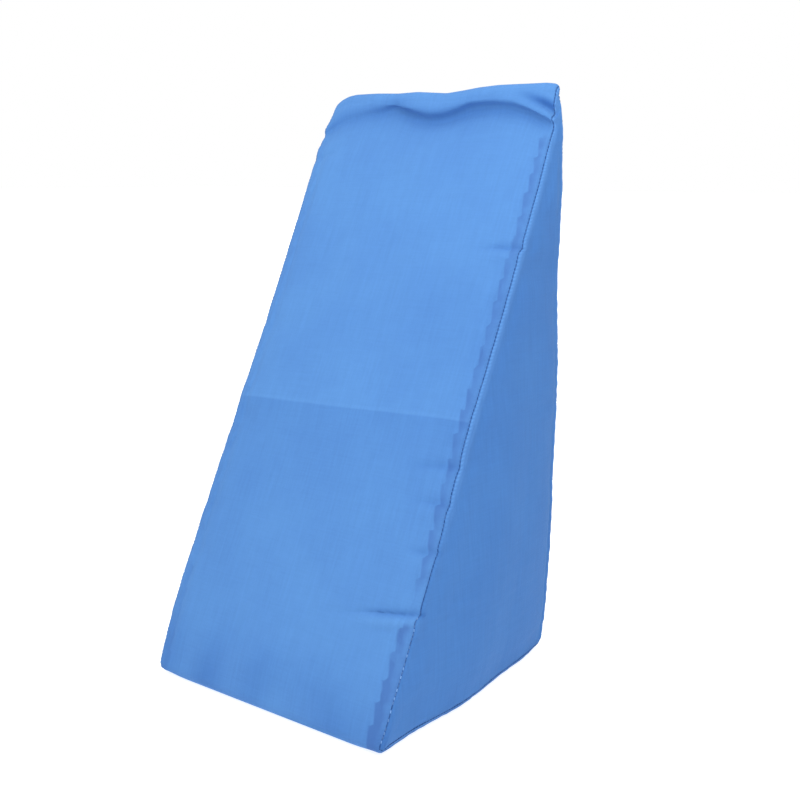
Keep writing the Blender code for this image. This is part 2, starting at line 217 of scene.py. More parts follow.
def read_table(rows: tuple, at: np.ndarray, column: int) -> np.ndarray:
    """Read one column of a table by straight lines between its rows.

    Args:
        rows: The table, with the place in its first column.
        at: The places to read.
        column: The column to read.

    Returns:
        The value at each place.
    """
    table = np.array(rows, dtype=float)
    return np.interp(at, table[:, 0], table[:, column])


def read_smooth(rows: tuple, at: np.ndarray, column: int, spread: float) -> np.ndarray:
    """Read one column of a table, averaged over a short way each side so that it has no corners.

    The value is the mean of the straight-line readings at seven places from -spread to +spread,
    weighted 1, 6, 15, 20, 15, 6, 1.

    Args:
        rows: The table, with the place in its first column.
        at: The places to read.
        column: The column to read.
        spread: How far to each side the reading reaches.

    Returns:
        The eased value at each place.
    """
    weights = (1.0, 6.0, 15.0, 20.0, 15.0, 6.0, 1.0)
    total = np.zeros(np.shape(at))
    for weight, offset in zip(weights, np.linspace(-spread, spread, len(weights))):
        total += weight * read_table(rows, at + offset, column)
    return total / sum(weights)


def read_trough(across: np.ndarray, name: str) -> np.ndarray:
    """Read one of the trough's measures across the width, by its name in TroughPoint."""
    return read_smooth(TROUGH, across, TroughPoint._fields.index(name), TROUGH_EASE)


def soft_noise(first: np.ndarray, second: np.ndarray, reach: float, seed: int) -> np.ndarray:
    """A smooth uneven field: the sum of twelve sine waves with random directions and phases.

    Args:
        first: First coordinate.
        second: Second coordinate.
        reach: Typical distance between a rise and the next.
        seed: Seed of the random directions and phases.

    Returns:
        The field, with a spread of about 1.
    """
    rng = np.random.default_rng(seed)
    total = np.zeros(np.broadcast(first, second).shape)
    for _ in range(12):
        angle, phase = rng.uniform(0.0, 2.0 * math.pi, 2)
        step = rng.uniform(0.6, 1.5) * 2.0 * math.pi / reach
        total += np.sin(step * (first * math.cos(angle) + second * math.sin(angle)) + phase)
    return total / math.sqrt(6.0)


def rounded_corner(
    corner: tuple, first: tuple, last: tuple, radius: float, steps: int
) -> np.ndarray:
    """An arc that rounds a corner between two straight sides.

    The arc's centre lies on the line that halves the corner, radius / sin(half the angle) away,
    and its points are the first tangent point turned about the centre in even steps.

    Args:
        corner: The sharp corner.
        first: Unit direction from the corner along the first side.
        last: Unit direction from the corner along the last side.
        radius: Radius of the arc.
        steps: Number of steps along it.

    Returns:
        The points, from the first side to the last.
    """
    one, two = np.array(first, dtype=float), np.array(last, dtype=float)
    half = 0.5 * math.acos(float(one @ two))
    middle = (one + two) / np.linalg.norm(one + two)
    centre = np.array(corner, dtype=float) + middle * radius / math.sin(half)
    start = np.array(corner) + one * radius / math.tan(half) - centre
    end = np.array(corner) + two * radius / math.tan(half) - centre
    turn = math.atan2(start[0] * end[1] - start[1] * end[0], float(start @ end))
    angle = np.linspace(0.0, turn, steps + 1)
    return centre + np.stack(
        [
            np.cos(angle) * start[0] - np.sin(angle) * start[1],
            np.sin(angle) * start[0] + np.cos(angle) * start[1],
        ],
        axis=1,
    )


def running(line: np.ndarray) -> np.ndarray:
    """The distance run along a line of points at each of them, from 0."""
    return np.concatenate([[0.0], np.cumsum(np.linalg.norm(np.diff(line, axis=0), axis=1))])


def read_line(line: np.ndarray, run: np.ndarray, at: np.ndarray) -> np.ndarray:
    """Read a line of points at distances along it.

    Args:
        line: The points.
        run: The distance run at each of them.
        at: The distances to read.

    Returns:
        The points, with the coordinates along the last axis.
    """
    return np.stack([np.interp(at, run, line[:, axis]) for axis in range(line.shape[1])], axis=-1)


def resample(line: np.ndarray, steps: int) -> np.ndarray:
    """Divide a line of points into even steps.

    Args:
        line: The points.
        steps: Number of steps.

    Returns:
        steps + 1 points, at equal distances along the line.
    """
    run = running(line)
    return read_line(line, run, np.linspace(0.0, run[-1], steps + 1))


def loop_normals(points: np.ndarray) -> np.ndarray:
    """Outward normals of closed loops of (depth, height) points: the mean direction turned right.

    Args:
        points: Loops, with the rows along the first axis and the coordinates along the last.

    Returns:
        A unit normal for every point.
    """
    along = np.roll(points, -1, axis=0) - np.roll(points, 1, axis=0)
    along = along / np.maximum(np.linalg.norm(along, axis=-1, keepdims=True), 1e-9)
    return np.stack([along[..., 1], -along[..., 0]], axis=-1)


def framed(ring: np.ndarray, wide: int, tall: int) -> np.ndarray:
    """Lay a closed ring of values round the border of an empty grid.

    Args:
        ring: The values along the base, up the back, over the tip and down the slope.
        wide: Steps along the base and over the tip.
        tall: Steps up the back and down the slope.

    Returns:
        The grid, with 0 inside.
    """
    grid = np.zeros((wide + 1, tall + 1) + ring.shape[1:], dtype=ring.dtype)
    grid[:wide, 0] = ring[:wide]
    grid[wide, :tall] = ring[wide : wide + tall]
    grid[wide:0:-1, tall] = ring[wide + tall : 2 * wide + tall]
    grid[0, tall:0:-1] = ring[2 * wide + tall :]
    return grid


def quads(number: np.ndarray) -> np.ndarray:
    """Four-cornered faces between the rows and columns of a grid of point numbers."""
    corners = (number[:-1, :-1], number[1:, :-1], number[1:, 1:], number[:-1, 1:])
    return np.stack(corners, axis=-1).reshape(-1, 4)


@dataclass
class WedgeSection:
    """The wedge's section: one closed loop of rows, the same across the whole width.

    A straight back, base and slope meet in three rounded corners. The foot's and the heel's arcs
    start in their middle, so that the loop has four runs: base, back, tip and slope.
    """

    height: float = 500.0
    depth: float = 259.0
    foot_radius: float = 8.0
    heel_radius: float = 10.0
    depth_steps: int = 48
    height_steps: int = 240
    fine_rows: tuple = (
        (540.0, 24.0, 1.9), (261.0, 14.0, 1.0), (103.0, 16.0, 0.7), (184.0, 12.0, 0.4),
    )
    slope_end: float = 552.4
    tip_proud: float = 0.89
    tip_blend: tuple = (518.0, 552.0)

    def __post_init__(self) -> None:
        """Work out the four runs, the loop and the line that the slope's rows slide along."""
        half = self.depth / 2.0
        self.foot = np.array((-half, 0.0))
        self.slope_length = math.hypot(self.height, self.depth)
        self.up_slope = np.array((self.depth, self.height)) / self.slope_length
        steps = 2 * CORNER_MIDDLE
        up_slope = tuple(self.up_slope)
        foot = rounded_corner((-half, 0.0), (1.0, 0.0), up_slope, self.foot_radius, steps)
        heel = rounded_corner((half, 0.0), (-1.0, 0.0), (0.0, 1.0), self.heel_radius, steps)
        tip_line = np.array([(half - point.before_back, point.high) for point in TIP])
        tip = resample(tip_line, self.depth_steps)

        self.rows_up = self.slope_rows(float((foot[-1] - self.foot) @ self.up_slope))
        low, high = self.tip_blend
        proud = self.tip_proud * smooth_step((self.rows_up - low) / (high - low))
        outward = np.array((-self.up_slope[1], self.up_slope[0]))
        slope = self.foot + self.rows_up[:, None] * self.up_slope + proud[:, None] * outward
        front = np.concatenate([foot[CORNER_MIDDLE:-1], slope, tip[:1]])
        middle = np.linspace(foot[0, 0], heel[0, 0], self.depth_steps - steps + 1)
        base = np.stack([middle, np.zeros_like(middle)], axis=1)
        base = np.concatenate([foot[CORNER_MIDDLE:0:-1], base, heel[1 : CORNER_MIDDLE + 1]])
        levels = front[CORNER_MIDDLE:, 1].copy()
        levels[0], levels[-1] = heel[-1, 1], tip[-1, 1]
        upright = np.stack([np.full_like(levels, half), levels], axis=1)
        back = np.concatenate([heel[CORNER_MIDDLE:-1], upright])

        self.base = base
        self.loop = np.concatenate([base[:-1], back[:-1], tip[:0:-1], front[:0:-1]])
        counts = [len(points) - 1 for points in (base, back, tip, front)]
        self.face = np.repeat([face.value for face in Face], counts)
        self.up = (self.loop - self.foot) @ self.up_slope
        self.around = running(np.concatenate([self.loop, self.loop[:1]]))
        run = running(tip_line)
        shares = [point.lip_share for point in TIP]
        at = np.linspace(0.0, 1.0, self.depth_steps + 1)
        self.lip_share = np.ones(len(self.loop))
        self.lip_share[self.face == Face.TIP.value] = np.interp(at, run / run[-1], shares)[:0:-1]
        self.line = np.concatenate([front, tip[1:]])
        self.line_at = running(self.line)
        to_middle = (front[CORNER_MIDDLE] - self.foot) @ self.up_slope
        self.foot_length = float(self.line_at[CORNER_MIDDLE] - to_middle)

    def slope_rows(self, start: float) -> np.ndarray:
        """Distances of the slope's rows from the foot, closer where the cloth folds.

        The rows' density is 1 plus a bell at each fine place, and the rows stand at equal steps of
        its running sum.

        Args:
            start: Where the foot's arc ends.

        Returns:
            The distances.
        """
        fine = np.linspace(start, self.slope_end, 2000)
        density = np.ones_like(fine)
        for at, spread, more in self.fine_rows:
            density += more * bell(fine - at, spread)
        total = np.concatenate([[0.0], np.cumsum(0.5 * (density[1:] + density[:-1]))])
        count = self.height_steps - CORNER_MIDDLE
        return np.interp(np.linspace(0.0, total[-1], count), total, fine)


@dataclass
class CoverForm:
    """The shape of the covered wedge, as a grid of rows round the section and columns across it."""

    section: WedgeSection = field(default_factory=WedgeSection)
    edge_radius: float = 6.0
    tip_edge_radius: float = 2.8
    tip_edge_from: float = 430.0
    tip_edge_to: float = 470.0
    near_steps: int = 12
    near_width: float = 14.0
    middle_steps: int = 76
    edge_steps: int = 8
    slope_crown: float = 3.0
    side_crown: float = 2.5
    side_crown_rise: float = 0.3
    base_bulge_rise: float = 0.7
    back_draw: float = 2.5
    back_flat: float = 0.62
    base_draw: float = 1.0
    base_flat: float = 0.72
    trough_row: float = 533.5
    trough_reach: tuple = (475.0, 553.2)
    crease_row: float = 262.0
    crease_reach: tuple = (208.0, 330.0)
    crease_height: float = 2.2
    crease_flanks: tuple = (34.0, 46.0)
    lip_lead: float = 3.0
    lip_steep: float = 1.0
    trough_half: float = 5.0
    drop_from: float = 440.0
    allowance_raise: float = 0.7
    allowance_width: float = 9.5
    allowance_ends: tuple = (30.0, 505.0)
    seam_angle: float = 45.0
    base_seam_angle: float = 80.0
    seam_depth: float = 0.45
    seam_half: float = 0.7
    seam_pucker: float = 0.18
    base_lip: float = 1.0
    shift: tuple = (-0.401, -2.342)

    def half_widths(self, side: Side) -> np.ndarray:
        """Half width at every row, read from the table of the face that the row lies on.

        Args:
            side: The end of the width.

        Returns:
            The half widths.
        """
        column = 1 if side is Side.RIGHT else 2
        section = self.section
        wide = read_smooth(SLOPE_EDGE, section.up, column, EDGE_EASE)
        on_base = read_smooth(BASE_EDGE, section.loop[:, 0], column, BASE_EASE)
        on_back = read_smooth(BACK_EDGE, section.loop[:, 1], column, EDGE_EASE)
        wide = np.where(section.face == Face.BASE.value, on_base, wide)
        return np.where(section.face == Face.BACK.value, on_back, wide)

    def radii(self) -> np.ndarray:
        """Radius of the side edges at every row: less beside the thin tip."""
        reach = self.tip_edge_to - self.tip_edge_from
        share = smooth_step((self.section.loop[:, 1] - self.tip_edge_from) / reach)
        return self.edge_radius + (self.tip_edge_radius - self.edge_radius) * share

    def base_share(self) -> np.ndarray:
        """1 at the rows under the base and 0 elsewhere, eased beside the two corners."""
        deep, half = self.section.loop[:, 0], self.section.depth / 2.0
        ease = smooth_step((deep + half - 3.0) / 16.0) * smooth_step((half - 6.0 - deep) / 16.0)
        return np.where(self.section.face == Face.BASE.value, ease, 0.0)

    def edge_angles(self) -> tuple:
        """The angles of one side edge's columns at every row, and the seam's angle.

        The seam lies half way round the edge, and nearly on the side along the base. The columns
        are even on either side of it.

        Returns:
            The angles after the first column, and the seam's angle, both in radians.
        """
        seam = self.seam_angle + (self.base_seam_angle - self.seam_angle) * self.base_share()
        seam = np.radians(seam)[:, None]
        half = self.edge_steps // 2
        up_to = np.arange(1, half + 1) / half
        return np.concatenate([seam * up_to, seam + (math.pi / 2.0 - seam) * up_to], axis=1), seam

    def columns(self) -> np.ndarray:
        """Where the columns stand across the flat of the cloth, as shares of its width."""
        width = self.section.depth
        near = np.linspace(0.0, self.near_width, self.near_steps + 1)
        middle = np.linspace(self.near_width, width - self.near_width, self.middle_steps + 1)
        return np.concatenate([near[:-1], middle, width - near[-2::-1]]) / width

    def trough_at(self, across: np.ndarray) -> np.ndarray:
        """Distance up the slope of the trough's line."""
        return read_trough(across, "up")

    def crease_at(self, across: np.ndarray) -> np.ndarray:
        """Distance up the slope of the crease's line."""
        return read_smooth(CREASE, across, 1, CREASE_EASE)

    def slid_rows(self, across: np.ndarray, up: np.ndarray) -> np.ndarray:
        """Slide the rows up or down the slope so that they follow the trough and the crease.

        Each row moves by the line's distance from its own row, times an ease that is 1 on that row
        and 0 at the ends of its reach.

        Args:
            across: Place across the width.
            up: Place up the slope.

        Returns:
            The new places up the slope.
        """
        low, high = self.trough_reach
        row = self.trough_row
        above = np.clip((high - up) / (high - row), 0.0, 1.0)
        pull = np.where(up < row, smooth_step((up - low) / (row - low)), above)
        moved = up + (self.trough_at(across) - row) * pull
        low, high = self.crease_reach
        row = self.crease_row
        pull = np.where(up < row, (up - low) / (row - low), (high - up) / (high - row))
        return moved + (self.crease_at(across) - row) * smooth_step(pull)

    def fold_height(self, across: np.ndarray, up: np.ndarray, fold: Fold) -> np.ndarray:
        """Height of one fold.

        The profile across the fold is exp(-(distance / half)^crisp). The fold rises from its faint
        end over three quarters of its length and fades just past its strong end, and its line bows
        by a parabola.

        Args:
            across: Place across the width.
            up: Place up the slope.
            fold: The fold.

        Returns:
            The height off the cloth.
        """
        start = np.array((fold.from_across, fold.from_up))
        line = np.array((fold.to_across, fold.to_up)) - start
        length = float(np.linalg.norm(line))
        share = ((across - start[0]) * line[0] + (up - start[1]) * line[1]) / length**2
        off = ((across - start[0]) * line[1] - (up - start[1]) * line[0]) / length
        off = off + fold.bow * 4.0 * share * (1.0 - share)
        ends = smooth_step(share / 0.75) * smooth_step((1.25 - share) / 0.25)
        return fold.height * ends * np.exp(-np.abs(off / fold.half) ** fold.crisp)

    def slope_relief(self, across: np.ndarray, share: np.ndarray, up: np.ndarray) -> np.ndarray:
        """How far the slope's cloth stands off the plain wedge.

        The sum of a crown, (1 - share^2) times the root of a half sine up the slope; the ridge of
        the crease; the trough's groove; the folds; a slow unevenness; and the band raised by the
        seam's allowance.

        Args:
            across: Place across the width.
            share: Place across the flat of the cloth, from -1 to 1.
            up: Place up the slope.

        Returns:
            The height off the wedge.
        """
        low, high = self.section.tip_blend
        near_tip = smooth_step((up - low) / (high - low))
        arch = np.sqrt(np.clip(np.sin(np.pi * up / self.section.slope_length), 0.0, 1.0))
        crown = self.slope_crown * (1.0 - share**2) * arch * (1.0 - near_tip)
        off = up - self.crease_at(across)
        above, below = self.crease_flanks
        crease = self.crease_height * np.exp(-np.abs(off) / np.where(off > 0.0, above, below))
        folds = sum(self.fold_height(across, up, fold) for fold in FOLDS)
        inner = smooth_step((1.0 - np.abs(share)) / 0.15)
        uneven = 0.35 * soft_noise(across, up * 0.6, 90.0, 11) * inner
        relief = crown + crease + self.trough_relief(across, up) + folds + uneven
        return relief + self.allowance_relief(share, up)

    def trough_relief(self, across: np.ndarray, up: np.ndarray) -> np.ndarray:
        """The trough under the lip: a bell above its line, and a long soft run-out below it.

        Above the line it is exp(-(distance / half)^2), and below it exp(-(distance / tail)^1.3).

        Args:
            across: Place across the width.
            up: Place up the slope.

        Returns:
            The height, below 0.
        """
        off = up - self.trough_at(across)
        below = np.exp(-((np.abs(off) / read_trough(across, "tail")) ** 1.3))
        depth = read_trough(across, "depth")
        return -depth * np.where(off < 0.0, below, bell(off, self.trough_half))

    def allowance_relief(self, share: np.ndarray, up: np.ndarray) -> np.ndarray:
        """The band raised by the seam's allowance, with an edge that wanders.

        Args:
            share: Place across the flat of the cloth, from -1 to 1.
            up: Place up the slope.

        Returns:
            The height of the band.
        """
        from_edge = (1.0 - np.abs(share)) * self.section.depth / 2.0
        side = np.sign(share)
        width = self.allowance_width - 3.0 + 1.1 * soft_noise(up, side * 40.0, 24.0, 5)
        over = smooth_step((from_edge + 1.5) / 3.0) * smooth_step((width - from_edge) / 2.2)
        low, high = self.allowance_ends
        ends = smooth_step((up - low) / 15.0) * smooth_step((high - up) / 15.0)
        lumps = 1.0 + 0.35 * soft_noise(up, side * 60.0, 16.0, 9)
        return self.allowance_raise * over * ends * lumps

    def lip_lean(self, across: np.ndarray, up: np.ndarray) -> np.ndarray:
        """How far the lip leans forward over the trough, rising steeply from the trough's line.

        The lean is the ease of (distance above the line / rise)^steep times the table's lean.

        Args:
            across: Place across the width.
            up: Place up the slope.

        Returns:
            The lean towards the front.
        """
        rise = read_trough(across, "rise")
        above = np.clip((up - self.trough_at(across) + self.lip_lead) / rise, 0.0, 1.0)
        return read_trough(across, "lip") * smooth_step(above**self.lip_steep)

    def place(self, across: np.ndarray, share: np.ndarray, inset: np.ndarray) -> np.ndarray:
        """Place a grid of rows and columns.

        Each row's point of the section slides along the slope, leans with the lip and drops with
        the tip; then it moves along the section's normal by the cloth's relief less the inset.

        Args:
            across: Place across the width.
            share: Place across the flat of the cloth, held at -1 or 1 round the side edges.
            inset: How far the point lies inside the section, as on the rounded side edges.

        Returns:
            The points, rows first.
        """
        section = self.section
        points = np.repeat(section.loop[:, None, :], across.shape[1], axis=1)
        on_base, on_back, on_tip, on_slope = (
            (section.face == face.value)[:, None] for face in Face
        )
        up = np.broadcast_to(section.up[:, None], across.shape)
        line_at = self.slid_rows(across, up) + section.foot_length
        slid = read_line(section.line, section.line_at, line_at)
        moves = on_slope & (up > section.rows_up[0] + 10.0)
        points = np.where(moves[..., None], slid, points)

        up = (points - section.foot) @ section.up_slope
        lean = self.lip_lean(across, up) * section.lip_share[:, None]
        lean = np.where(on_slope | on_tip, lean, 0.0)
        high = smooth_step((points[..., 1] - self.drop_from) / (section.height - self.drop_from))
        drop = read_smooth(TIP_DROP, across, 1, DROP_EASE) * high
        leant = points - np.stack([lean, drop], axis=-1)

        relief = self.slope_relief(across, share, up) * section.lip_share[:, None]
        relief = np.where(on_slope | on_tip, relief, 0.0)
        behind = smooth_step((section.height - section.loop[:, 1]) / 8.5)[:, None]
        behind = behind * (section.loop[:, 0] > section.depth / 2.0 - 2.0)[:, None]
        behind = np.where(on_back, 1.0, np.where(on_tip, behind, 0.0))
        relief = relief - behind * self.drawn_in(share, self.back_flat, self.back_draw)
        relief = np.where(on_base, -self.drawn_in(share, self.base_flat, self.base_draw), relief)
        placed = leant + loop_normals(leant) * (relief - inset)[..., None]
        return np.stack([across, placed[..., 0], placed[..., 1]], axis=-1) + (*self.shift, 0.0)

    def drawn_in(self, share: np.ndarray, flat: float, draw: float) -> np.ndarray:
        """How far a flat face is drawn in beside its edges: draw times the square of an ease."""
        return draw * smooth_step((np.abs(share) - flat) / (1.0 - flat)) ** 2

    def seam_relief(self, seam: np.ndarray) -> np.ndarray:
        """The groove of the side seam, the lip of cloth under the base's seam and small puckers.

        The groove is a bell on the seam's line, and the lip is a bell 2.4 mm before it. The puckers
        are waves along the seam that fade over a few millimetres each side.

        Args:
            seam: Signed distance along the cloth from the seam, below 0 on the wrap.

        Returns:
            The relief.
        """
        around = self.section.around[:-1, None]
        groove = -self.seam_depth * bell(seam, self.seam_half)
        fade = 1.0 - 0.75 * smooth_step((self.section.loop[:, :1] + 100.0) / 50.0)
        lip = self.base_lip * fade * self.base_share()[:, None] * bell(seam + 2.4, 1.5)
        waves = soft_noise(around, np.sign(seam) * 30.0, 13.0, 21)
        return groove + lip + self.seam_pucker * waves * bell(np.abs(seam) - 2.5, 2.5)

    def grid(self) -> tuple:
        """The whole cover as rows round the section by columns from the left cap to the right.

        On a rounded edge a point is radius + relief from the edge's middle, at its column's angle.

        Returns:
            The points, and for each the distance from the nearest side seam (below 0 on the wrap).
        """
        flat = self.columns()
        turn, at_seam = self.edge_angles()
        radius = self.radii()[:, None]
        right, left = (self.half_widths(side)[:, None] for side in Side)
        start, end = -(left - radius), right - radius
        across = start + (end - start) * flat[None, :]
        share = np.broadcast_to(2.0 * flat[None, :] - 1.0, across.shape)
        flat_seam = -np.minimum(across - start, end - across) - radius * at_seam

        edge_seam = radius * (turn - at_seam)
        reach = radius + self.seam_relief(edge_seam)
        edge_across = reach * np.sin(turn)
        edge_inset = radius - reach * np.cos(turn)
        ones = np.ones_like(edge_across)
        across = np.concatenate([start - edge_across[:, ::-1], across, end + edge_across], axis=1)
        share = np.concatenate([-ones, share, ones], axis=1)
        flat_inset = -self.seam_relief(flat_seam)
        inset = np.concatenate([edge_inset[:, ::-1], flat_inset, edge_inset], axis=1)
        seam = np.concatenate([edge_seam[:, ::-1], flat_seam, edge_seam], axis=1)
        return self.place(across, share, inset), seam

    def cap(self, ring: np.ndarray, side: Side) -> np.ndarray:
        """Fill a side between the slope's edge and the back's edge, row by row.

        A row runs straight from one edge to the other. Its points stand at the base's spacing low
        down and at even spacing at the tip. The base edge's bulge fades upwards, and a crown of
        4 s (1 - s) is added.

        Args:
            ring: The closed ring of points that bounds the side.
            side: The end of the width.

        Returns:
            A grid of points, from the slope to the back and from the base to the tip.
        """
        wide, tall = self.section.depth_steps, self.section.height_steps
        grid = framed(ring, wide, tall)

        base = self.section.base[:, 0]
        base_share = (base - base[0]) / (base[-1] - base[0])
        high = grid[0, :, 2] / grid[0, -1, 2]
        even = np.linspace(0.0, 1.0, wide + 1)
        share = base_share[:, None] * (1.0 - high) + even[:, None] * high
        inside = share[..., None]
        filled = grid[None, 0] * (1.0 - inside) + grid[None, wide] * inside
        crown = 4.0 * share * (1.0 - share) * smooth_step(high / self.side_crown_rise)
        crown = crown * (1.0 - high)
        bulge = grid[:, 0, 0] - (grid[0, 0, 0] + (grid[wide, 0, 0] - grid[0, 0, 0]) * base_share)
        fade = 1.0 - smooth_step(high / self.base_bulge_rise)
        uneven = 0.5 * soft_noise(filled[..., 1], filled[..., 2] * 0.7, 110.0, 31)
        soft = smooth_step(share * (1.0 - share) / 0.08) * smooth_step(high / 0.1) * (1.0 - high)
        swell = self.side_crown * crown + uneven * soft
        filled[..., 0] += side.value * swell + bulge[:, None] * fade
        grid[1:wide, 1:tall] = filled[1:wide, 1:tall]
        return grid


def upsampled(coarse: np.ndarray, factor: int, closed: bool) -> np.ndarray:
    """Spread a coarse field over finer rows: straight lines between rows, then two running means.

    Args:
        coarse: The field, with the rows along the first axis.
        factor: Fine rows for each coarse one.
        closed: Whether the last row joins the first.

    Returns:
        The field on the finer rows.
    """
    rows = np.concatenate([coarse, coarse[:1]]) if closed else coarse
    at = np.arange((len(rows) - 1) * factor + 1) / factor
    low = np.minimum(at.astype(int), len(rows) - 2)
    share = (at - low).reshape((-1,) + (1,) * (coarse.ndim - 1))
    fine = rows[low] * (1.0 - share) + rows[low + 1] * share
    fine = fine[:-1] if closed else fine
    reach = factor // 2
    for _ in range(2):
        mode = "wrap" if closed else "edge"
        held = np.pad(fine, ((reach, reach),) + ((0, 0),) * (coarse.ndim - 1), mode=mode)
        fine = sum(held[i : i + len(fine)] for i in range(2 * reach + 1)) / (2 * reach + 1)
    return fine


@dataclass
class Cover:
    """The whole cover as arrays: the grid round the section and the grid of each side."""

    around: np.ndarray
    right: np.ndarray
    left: np.ndarray

    def grids(self) -> tuple:
        """The three grids."""
        return self.around, self.right, self.left

    def coarse(self, factor: int) -> "Cover":
        """Every nth row and column."""
        return Cover(*(grid[::factor, ::factor] for grid in self.grids()))

    def numbered(self) -> "Cover":
        """The same grids with each point's number, where the sides share their edges' points.

        The grid round the section is numbered row by row, and the insides of the sides follow it.

        Returns:
            Grids of whole numbers.
        """
        rows, columns = self.around.shape[:2]
        around = np.arange(rows * columns).reshape(rows, columns)
        sides, start = [], rows * columns
        for grid, column in ((self.right, -1), (self.left, 0)):
            wide, tall = grid.shape[0] - 1, grid.shape[1] - 1
            number = framed(around[:, column], wide, tall)
            inside = (wide - 1) * (tall - 1)
            number[1:wide, 1:tall] = np.arange(start, start + inside).reshape(wide - 1, tall - 1)
            start += inside
            sides.append(number)
        return Cover(around, *sides)

    def flat(self) -> np.ndarray:
        """All values in the points' order."""
        tail = self.around.shape[2:]
        grids = (self.around, self.right[1:-1, 1:-1], self.left[1:-1, 1:-1])
        return np.concatenate([grid.reshape((-1,) + tail) for grid in grids])

    def taken(self, values: np.ndarray) -> "Cover":
        """Grids read from values in the points' order."""
        return Cover(*(values[number] for number in self.numbered().grids()))

    def faces(self) -> tuple:
        """Four-cornered faces, outwards, and for each its column in the grid round the section.

        Returns:
            The faces as rows of four point numbers, and the columns, -1 on the sides.
        """
        number = self.numbered()
        rows, columns = number.around.shape
        strips = quads(np.concatenate([number.around, number.around[:1]]))
        right, left = quads(number.right), quads(number.left)[:, [0, 3, 2, 1]]
        column = np.tile(np.arange(columns - 1), rows)
        column = np.concatenate([column, np.full(len(right) + len(left), -1)])
        return np.concatenate([strips, right, left]), column


def point_normals(points: np.ndarray, faces: np.ndarray) -> np.ndarray:
    """Unit normals at the points of a mesh: the sum of its faces' diagonals' cross products.

    Args:
        points: The points.
        faces: Four-cornered faces.

    Returns:
        A unit normal for every point.
    """
    corner = points[faces]
    facing = np.cross(corner[:, 2] - corner[:, 0], corner[:, 3] - corner[:, 1])
    total = np.zeros_like(points)
    for index in range(4):
        np.add.at(total, faces[:, index], facing)
    return total / np.maximum(np.linalg.norm(total, axis=1, keepdims=True), 1e-12)


def new_mesh(name: str, points: np.ndarray, faces: np.ndarray) -> bpy.types.Mesh:
    """A smooth mesh from arrays.

    Args:
        name: Its name.
        points: The points, in metres.
        faces: The faces, as rows of point numbers.

    Returns:
        The mesh.
    """
    mesh = bpy.data.meshes.new(name)
    mesh.from_pydata(points.tolist(), [], faces.tolist())
    mesh.polygons.foreach_set("use_smooth", np.ones(len(faces), dtype=bool))
    mesh.update()
    return mesh


def linked(name: str, data: bpy.types.ID) -> bpy.types.Object:
    """A new object in the scene."""
    made = bpy.data.objects.new(name, data)
    bpy.context.scene.collection.objects.link(made)
    return made


@dataclass
class ClothSwell:
    """Lets the cover swell under a little pressure, and says how far each point moved outwards."""

    pressure: float = 4.0
    frames: int = 20
    spare: float = 0.012
    mass: float = 0.2
    quality: int = 8
    stretching: float = 15.0
    shearing: float = 5.0
    bending: float = 1.0
    factor: int = 4

    def run(self, cover: Cover, held: np.ndarray) -> np.ndarray:
        """Simulate the coarse cover as cloth.

        The points that are sewn or stood on are pinned, the rest gets a little spare cloth, and
        the movement is read along the points' normals.

        Args:
            cover: The coarse cover, in millimetres.
            held: 1 at each pinned point.

        Returns:
            How far each point moved outwards, in millimetres.
        """
        points = cover.flat() * MM
        faces, _ = cover.faces()
        normals = point_normals(points, faces)
        scene = bpy.context.scene
        piece = linked("swelling_cover", new_mesh("swelling_cover", points, faces))
        pins = piece.vertex_groups.new(name="sewn")
        pins.add([int(index) for index in np.nonzero(held)[0]], 1.0, "REPLACE")

        cloth = piece.modifiers.new("swell", "CLOTH")
        settings = {
            "vertex_group_mass": pins.name,
            "use_pressure": True,
            "uniform_pressure_force": self.pressure,
            "quality": self.quality,
            "mass": self.mass,
            "tension_stiffness": self.stretching,
            "compression_stiffness": self.stretching,
            "shear_stiffness": self.shearing,
            "bending_stiffness": self.bending,
            "shrink_min": -self.spare,
            "shrink_max": -self.spare,
        }
        for name, value in settings.items():
            setattr(cloth.settings, name, value)
        cloth.settings.effector_weights.gravity = 0.0
        cloth.collision_settings.use_collision = False
        cloth.point_cache.frame_start, cloth.point_cache.frame_end = 1, self.frames
        for frame in range(1, self.frames + 1):
            scene.frame_set(frame)
        swelled = piece.evaluated_get(bpy.context.evaluated_depsgraph_get()).to_mesh()
        after = np.empty(len(points) * 3)
        swelled.vertices.foreach_get("co", after)
        piece.to_mesh_clear()
        scene.frame_set(1)
        mesh = piece.data
        bpy.data.objects.remove(piece)
        bpy.data.meshes.remove(mesh)
        return np.sum((after.reshape(-1, 3) - points) * normals, axis=1) / MM


